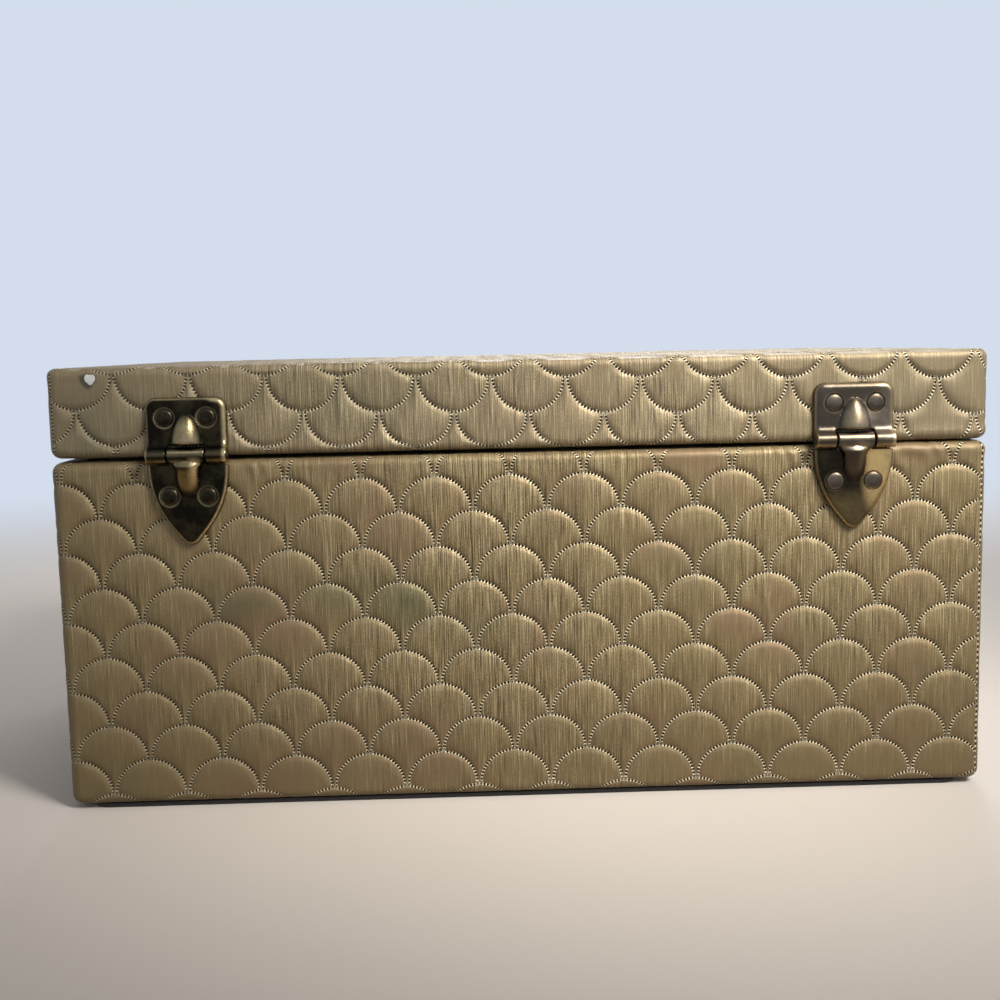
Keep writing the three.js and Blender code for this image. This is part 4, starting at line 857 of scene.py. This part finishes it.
def leafPiece(name, side, upper, body, node):
    corners, rim = upperOutline() if upper else lowerOutline()
    outline = resample(corners, leafMesh["edge"])
    spread, level = rivet["upper"] if upper else rivet["lower"]
    seats = [(-spread, level), (spread, level)]
    turn = np.roll(outline, -1, 0) - np.roll(outline, 1, 0)
    inward = np.c_[-turn[:, 1], turn[:, 0]] / np.hypot(*turn.T)[:, None]
    points = [outline]
    for offset in leafMesh["rings"]:
        ring = outline + inward * offset
        keep = (lineDistance(ring, outline, True) > 0.9 * offset) & insideLine(ring, outline)
        points.append(ring[keep][::2 if offset > leafMesh["thinFrom"] else 1])
    axes = [np.arange(a, b, leafMesh["grid"]) for a, b in zip(outline.min(0), outline.max(0))]
    grid = np.stack(np.meshgrid(*axes), -1).reshape(-1, 2)
    keep = insideLine(grid, outline)
    keep[keep] = lineDistance(grid[keep], outline, True) > leafMesh["margin"]
    angles = np.linspace(0, 2 * math.pi, leafMesh["seatSides"], endpoint=False)
    circle = np.c_[np.cos(angles), np.sin(angles)]
    for seat in seats:
        keep &= np.hypot(*(grid - seat).T) > hinge["seat"] + leafMesh["seatGap"]
        for r in (*leafMesh["seatDish"], *(hinge["seat"] + k for k in leafMesh["seatEdge"])):
            points.append(np.array(seat) + r * circle[:1 if r == 0 else None])
    points.append(grid[keep])
    points = np.concatenate(points)
    count = len(outline)
    edges = [(i, (i + 1) % count) for i in range(count)]
    verts, _, faces = delaunay_2d_cdt([Vector(p) for p in points], edges, [], 1, 1e-5)[:3]
    flat = np.array([v[:] for v in verts])

    rimGap, slotGap = lineDistance(flat, rim, False), lineDistance(flat, corners[len(rim):], False)
    surface = upperSurface if upper else lowerSurface
    front, back = surface(flat[:, 0], flat[:, 1], rimGap, slotGap, seats)
    centre = hinge["centre"] * (1 if side == "right" else -1)
    total = len(flat)
    shape = np.r_[np.c_[flat[:, 0] + centre, -hinge["wall"] - front, flat[:, 1] + hinge["axisZ"]],
                  np.c_[flat[:, 0] + centre, -hinge["wall"] - back, flat[:, 1] + hinge["axisZ"]]]
    uses = {}
    for face in faces:
        for a, b in zip(face, face[1:] + face[:1]):
            uses[(a, b)] = True
    skirt = [(b, a, a + total, b + total) for a, b in uses if (b, a) not in uses]
    every = [*faces, *([i + total for i in reversed(f)] for f in faces), *skirt]
    bm = bmeshFrom(shape, every)
    bmesh.ops.remove_doubles(bm, verts=bm.verts, dist=1e-6)
    bmesh.ops.dissolve_degenerate(bm, dist=1e-7, edges=bm.edges)
    bmesh.ops.recalc_face_normals(bm, faces=bm.faces)
    mesh = toMesh(name, bm, hinge["sharp"])
    where = np.array([v.co[:] for v in mesh.vertices]) / mm
    x, z = where[:, 0] - centre, where[:, 2] - hinge["axisZ"]
    rimGap = lineDistance(np.c_[x, z], rim, False)
    brassPiece(name, mesh, body, node, **leafWearAndLight(x, z, rimGap, seats, upper, side == "right"))


# A rivet as a turned form: domed head with a soft edge, shank into the wall.
def rivetPiece(name, x, z, look, body, node, way=-1, lift=0.0):
    turn = np.linspace(0, math.pi / 2, rivet["rings"])
    head = np.c_[rivet["head"] * np.cos(turn) ** 0.9, rivet["under"] + rivet["dome"] * np.sin(turn) ** 0.8]
    under, shank, tail = rivet["under"] - rivet["lap"], rivet["shank"], rivet["tail"]
    stem = [(0, tail), (shank, tail), (shank, under), (rivet["head"] - rivet["lip"], under)]
    profile = np.r_[stem, head[:-1], [(0, rivet["under"] + rivet["dome"])]]
    bm = bmesh.new()
    line = []
    for r, h in profile:
        away = hinge["wall"] + h + (lift if h > 0 else 0)
        line.append(bm.verts.new((x * mm + r * mm, way * away * mm, z * mm)))
    chain = [bm.edges.new(pair) for pair in zip(line, line[1:])]
    bmesh.ops.spin(bm, geom=line + chain, cent=Vector((x, 0, z)) * mm, axis=(0, 1, 0), angle=2 * math.pi,
                   steps=rivet["sides"], use_merge=True)
    bmesh.ops.remove_doubles(bm, verts=bm.verts, dist=1e-6)
    bmesh.ops.recalc_face_normals(bm, faces=bm.faces)
    mesh = toMesh(name, bm, rivet["sharp"])
    where = np.array([v.co[:] for v in mesh.vertices]) / mm
    r = np.hypot(where[:, 0] - x, where[:, 2] - z)
    wearAndHighlight = look["wearAndHighlight"] * np.exp(-((r - 2.9) / 0.4) ** 2) + look["top"] * smoothStep(2.2, 0.6, r)
    brassPiece(name, mesh, body, node, wearAndHighlight, greyAndGlare=look["greyAndGlare"])


rivetLooks = dict(left=dict(wearAndHighlight=0.05, top=0.0, greyAndGlare=0.03), right=dict(wearAndHighlight=0.06, top=0.03, greyAndGlare=0.34),
                  catch=dict(wearAndHighlight=0.3, top=0.1, greyAndGlare=0.1))
for side, sign in (("left", -1), ("right", 1)):
    for leaf, body in (("upper", "lid"), ("lower", "body")):
        leafPiece(f"{side}_{leaf}_leaf", side, leaf == "upper", body, f"{side}_hinge_{leaf}_leaf")
        spread, level = rivet[leaf]
        for i, way in ((1, -1), (2, 1)):
            x, z = sign * hinge["centre"] + way * spread, hinge["axisZ"] + level
            node = f"{side}_hinge_{leaf}_rivet_{i}"
            rivetPiece(f"{side}_{leaf}_rivet_{i}", x, z, rivetLooks[side], body, node)
    print("hinge", side)

# Catch on the front: plates softened and rubbed along their edges

catch = dict(edge=0.45, segments=3, band=0.7, rub=0.7, broad=3e-6, sharp=32, plateRivet=(8.0, 154.3, 0.0),
             caseRivet=(7.3, 115.8, 2.8))


def rubbedPiece(name, node, body, greyAndGlare):
    bm = bmesh.new()
    bm.from_mesh(nodes[node].data)
    bmesh.ops.remove_doubles(bm, verts=bm.verts, dist=1e-6)
    bmesh.ops.dissolve_limit(bm, angle_limit=math.radians(2), verts=bm.verts, edges=bm.edges)
    sharp = [e for e in bm.edges if e.is_manifold and e.calc_face_angle() > math.radians(35)]
    made = bmesh.ops.bevel(bm, geom=sharp, offset=catch["edge"] * mm, offset_type="OFFSET", profile=0.5,
                           segments=catch["segments"], affect="EDGES", clamp_overlap=True)
    soft = set(made["faces"])
    flat = [f for f in bm.faces if f not in soft and f.calc_area() > catch["broad"]]
    levels = [(f, f.calc_center_median().y) for f in flat if abs(f.normal.y) > 0.99]
    bmesh.ops.inset_region(bm, faces=flat, thickness=catch["band"] * mm, use_even_offset=True,
                           use_boundary=True)
    for face, level in levels:  # the broad faces stay flat
        for vert in face.verts:
            vert.co.y = level
    inner = {v.index for f in flat for v in f.verts}
    bmesh.ops.triangulate(bm, faces=[f for f in bm.faces if len(f.verts) > 4])
    mesh = toMesh(name, bm, catch["sharp"])
    wearAndHighlight = [0.0 if i in inner else catch["rub"] for i in range(len(mesh.vertices))]
    brassPiece(name, mesh, body, node, wearAndHighlight, greyAndGlare=greyAndGlare)


rubbedPiece("front_catch_plate", "catch_plate", "lid", 0.05)
rubbedPiece("front_catch_case", "catch_case", "body", 0.05)
rubbedPiece("front_catch_bolt", "catch_slide", "catch_slide", 0.25)
for plate, body in (("plate", "lid"), ("case", "body")):
    spread, level, lift = catch[plate + "Rivet"]
    for i, way in ((1, 1), (2, -1)):
        node = f"catch_{plate}_rivet_{i}"
        rivetPiece(f"front_{plate}_rivet_{i}", way * spread, level, rivetLooks["catch"], body, node, 1, lift)
print("front catch")

# Ivory satin over thin padding inside

satinLook = dict(ivory=(0.70, 0.605, 0.42), shade=(0.60, 0.505, 0.335), spot=(0.58, 0.47, 0.30),
                 sheen=0.35, sheenRough=0.4)
ivorySatin, tree, bsdf = newMaterial("ivorySatin")
place = objectSpace()
clothUv = addNode("ShaderNodeUVMap", uv_map="cloth").outputs["UV"]
weaveA = fibres(clothUv, (3600, 190, 1), 2.0, 0.5)
weaveB = fibres(clothUv, (190, 3600, 1), 2.0, 0.5)
weave = plus(times(weaveA, 0.6), times(weaveB, 0.4))
colour = mixColour(mapRange(weave, 0.38, 0.62), satinLook["shade"], satinLook["ivory"])
age = noise(place, 17.0, 5.0, 0.62)
colour = mixColour(mapRange(age, 0.55, 0.78, 0, 0.55), colour, satinLook["spot"])
setSurface(colour, mapRange(weave, 0.3, 0.7, 0.52, 0.36), weave, 0.35, 0.15)
bsdf.inputs["Sheen Weight"].default_value = satinLook["sheen"]
bsdf.inputs["Sheen Roughness"].default_value = satinLook["sheenRough"]

lining = dict(crown=0.7, lidCrown=0.45, edge=7.0, sink=0.22, pucker=0.10, puckerPitch=8.5, puckerReach=9, wave=0.12,
              step=3.2, fill=0.35, sharp=50, ledge=dict(level=94.4, reach=7.0, rise=0.1))


# A padded panel over a lining board: the face towards the room of the box swells, the back is flat.
def liningPiece(stem, axis, way, body, crown):
    name, node = f"{stem}_satin", f"{stem}_lining"
    low, high = (np.array(c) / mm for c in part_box(node))
    u, v = [k for k in range(3) if k != axis]
    wide, tall = (max(4, round((high[k] - low[k]) / lining["step"])) for k in (u, v))
    rows, columns = np.linspace(low[u], high[u], wide + 1), np.linspace(low[v], high[v], tall + 1)
    a, b = (k.ravel() for k in np.meshgrid(rows, columns, indexing="ij"))
    gapA, gapB = np.minimum(a - low[u], high[u] - a), np.minimum(b - low[v], high[v] - b)
    fullA, fullB = (1 - (1 - np.minimum(gap / lining["edge"], 1)) ** 2 for gap in (gapA, gapB))
    full = fullA * fullB
    pitch, reach = lining["puckerPitch"], lining["puckerReach"]
    pucker = np.exp(-gapB / reach) * np.sin(a * 2 * math.pi / pitch + 2 * np.sin(a / 23))
    pucker = pucker + np.exp(-gapA / reach) * np.sin(b * 2 * math.pi / pitch + a / 29)
    wave = np.sin(a / 19 + 1.7 * np.sin(b / 31)) * np.sin(b / 27 + 1.1)
    height = crown + lining["pucker"] * pucker + lining["wave"] * wave * (crown / lining["crown"])
    height = full * height - lining["sink"] * (1 - full)
    if axis == 0 and body == "body":  # pressed flat behind the tray's ledge
        ledge = lining["ledge"]
        pressed = smoothStep(ledge["reach"] + 5, ledge["reach"] - 2, np.abs(b - ledge["level"]))
        height = np.minimum(height, height * (1 - pressed) + ledge["rise"] * pressed)
    near, back = (high[axis], low[axis]) if way > 0 else (low[axis], high[axis])
    points = np.zeros((len(a), 3))
    points[:, u], points[:, v], points[:, axis] = a, b, near + way * height
    index = np.arange(len(a)).reshape(wide + 1, tall + 1)
    faces = np.stack([index[:-1, :-1], index[1:, :-1], index[1:, 1:], index[:-1, 1:]], -1).reshape(-1, 4)
    bm = bmeshFrom(points, faces.tolist())

    def flatBack(co):
        co = co.copy()
        co[axis] = back * mm
        return co

    closeBack(bm, [flatBack])
    mesh = toMesh(name, bm, lining["sharp"])
    corners = np.array([mesh.vertices[loop.vertex_index].co[:] for loop in mesh.loops])
    mesh.uv_layers.new(name="cloth").data.foreach_set("uv", corners[:, [u, v]].astype(np.float32).ravel())
    piece = newPiece(name, mesh, ivorySatin, body, node)


for side, axis, way in (("rear", 1, 1), ("front", 1, -1), ("left", 0, 1), ("right", 0, -1)):
    liningPiece(f"body_{side}", axis, way, "body", lining["crown"])
    liningPiece(f"lid_{side}", axis, way, "lid", lining["lidCrown"])
liningPiece("floor", 2, 1, "body", lining["crown"])
liningPiece("lid_panel", 2, -1, "lid", lining["lidCrown"])
print("satin linings")

# Plywood, black fibre sheet, steel and tray plastic

woodLook = dict(pale=(0.56, 0.42, 0.26), dark=(0.36, 0.235, 0.125))
rawPlywood, tree, bsdf = newMaterial("rawPlywood")
place = objectSpace()
grain = fibres(place, (38, 38, 760), 4.0, 0.6)
flame = fibres(place, (9, 9, 70), 3.0, 0.5)
tone = plus(times(grain, 0.6), times(flame, 0.4))
colour = mixColour(mapRange(tone, 0.36, 0.62), woodLook["dark"], woodLook["pale"])
setSurface(colour, mapRange(grain, 0.3, 0.7, 0.75, 0.58), grain, 0.3, 0.2)

fibreLook = dict(black=(0.013, 0.012, 0.011), fluff=(0.045, 0.041, 0.036))
blackFibre, tree, bsdf = newMaterial("blackFibre")
fibre = fibres(objectSpace(), (900, 300, 900), 4.0, 0.65)
colour = mixColour(mapRange(fibre, 0.45, 0.72), fibreLook["black"], fibreLook["fluff"])
setSurface(colour, mapRange(fibre, 0.3, 0.7, 0.62, 0.82), fibre, 0.4, 0.2)

steelLook = dict(bright=(0.25, 0.235, 0.21), dull=(0.12, 0.105, 0.085))
drawnSteel, tree, bsdf = newMaterial("drawnSteel", 1.0)
place = objectSpace()
drawn = fibres(place, (70, 1800, 1800), 3.0, 0.6)
dull = noise(place, 160.0, 4.0, 0.6)
colour = mixColour(mapRange(drawn, 0.35, 0.65), steelLook["dull"], steelLook["bright"])
colour = mixColour(mapRange(dull, 0.5, 0.7, 0, 0.7), colour, steelLook["dull"])
setSurface(colour, mapRange(dull, 0.3, 0.7, 0.30, 0.48), drawn, 0.15, 0.1)

trayLook = dict(ivory=(0.70, 0.625, 0.465), cloud=(0.62, 0.54, 0.385), scuffed=(0.76, 0.70, 0.56), coat=0.08,
                coatRough=0.2)
trayPlastic, tree, bsdf = newMaterial("trayPlastic")
place = objectSpace()
cloud = noise(place, 26.0, 4.0, 0.55)
scuff = fibres(place, (300, 900, 420), 4.0, 0.7)
colour = mixColour(mapRange(cloud, 0.38, 0.64), trayLook["ivory"], trayLook["cloud"])
colour = mixColour(mapRange(scuff, 0.60, 0.78, 0, 0.5), colour, trayLook["scuffed"])
setSurface(colour, mapRange(scuff, 0.4, 0.75, 0.42, 0.58), cloud, 0.2, 0.6)
bsdf.inputs["Coat Weight"].default_value = trayLook["coat"]
bsdf.inputs["Coat Roughness"].default_value = trayLook["coatRough"]

# The base sheet reaches nearly to the cover's face, as its edge shows under the cover
baseLook = dict(half=(173.0, 117.3), corner=6.0, thick=1.8, edge=0.35, segments=3, turns=10, sharp=40)


def basePiece():
    wide, deep = baseLook["half"]
    r, turns = baseLook["corner"], baseLook["turns"]
    bm = bmesh.new()
    ring = []
    for i, (sx, sy) in enumerate(((1, 1), (-1, 1), (-1, -1), (1, -1))):
        for k in range(turns + 1):
            angle = (i + k / turns) * math.pi / 2
            x, y = sx * (wide - r) + r * math.cos(angle), sy * (deep - r) + r * math.sin(angle)
            ring.append(bm.verts.new(Vector((x, y, 0)) * mm))
    made = bmesh.ops.extrude_face_region(bm, geom=[bm.faces.new(ring)])["geom"]
    top = [g for g in made if isinstance(g, bmesh.types.BMVert)]
    bmesh.ops.translate(bm, verts=top, vec=(0, 0, baseLook["thick"] * mm))
    bmesh.ops.recalc_face_normals(bm, faces=bm.faces)
    rims = [e for e in bm.edges if abs(e.verts[0].co.z - e.verts[1].co.z) < 1e-6]
    bmesh.ops.bevel(bm, geom=rims, offset=baseLook["edge"] * mm, offset_type="OFFSET", profile=0.5,
                    segments=baseLook["segments"], affect="EDGES")
    mesh = toMesh("base_fibre", bm, baseLook["sharp"])
    newPiece("base_fibre", mesh, blackFibre, "body", "base_sheet")


basePiece()

# Pieces that keep their solids: boards, ledges, pins, tongue and tray
finishes = dict(steel=drawnSteel, board=rawPlywood, tray_plastic=trayPlastic)
softened = dict(tray=0.7, left_tray_ledge=0.8, right_tray_ledge=0.8, catch_tongue=0.2)
softEdge = dict(merge=1e-6, segments=3, angle=35)
slotOf = {s["node"]: s["material_slot"] for s in frame["record"]["subparts"]}
for name, obj in nodes.items():
    if obj.hide_render:
        continue
    obj.data.materials.clear()
    obj.data.materials.append(finishes[slotOf[name]])
    if name in softened:
        weld = obj.modifiers.new("joined", "WELD")
        weld.merge_threshold = softEdge["merge"]
        bevel = obj.modifiers.new("softEdges", "BEVEL")
        bevel.width = softened[name] * mm
        bevel.segments = softEdge["segments"]
        bevel.limit_method = "ANGLE"
        bevel.angle_limit = math.radians(softEdge["angle"])
        bevel.harden_normals = True
print("finishes")
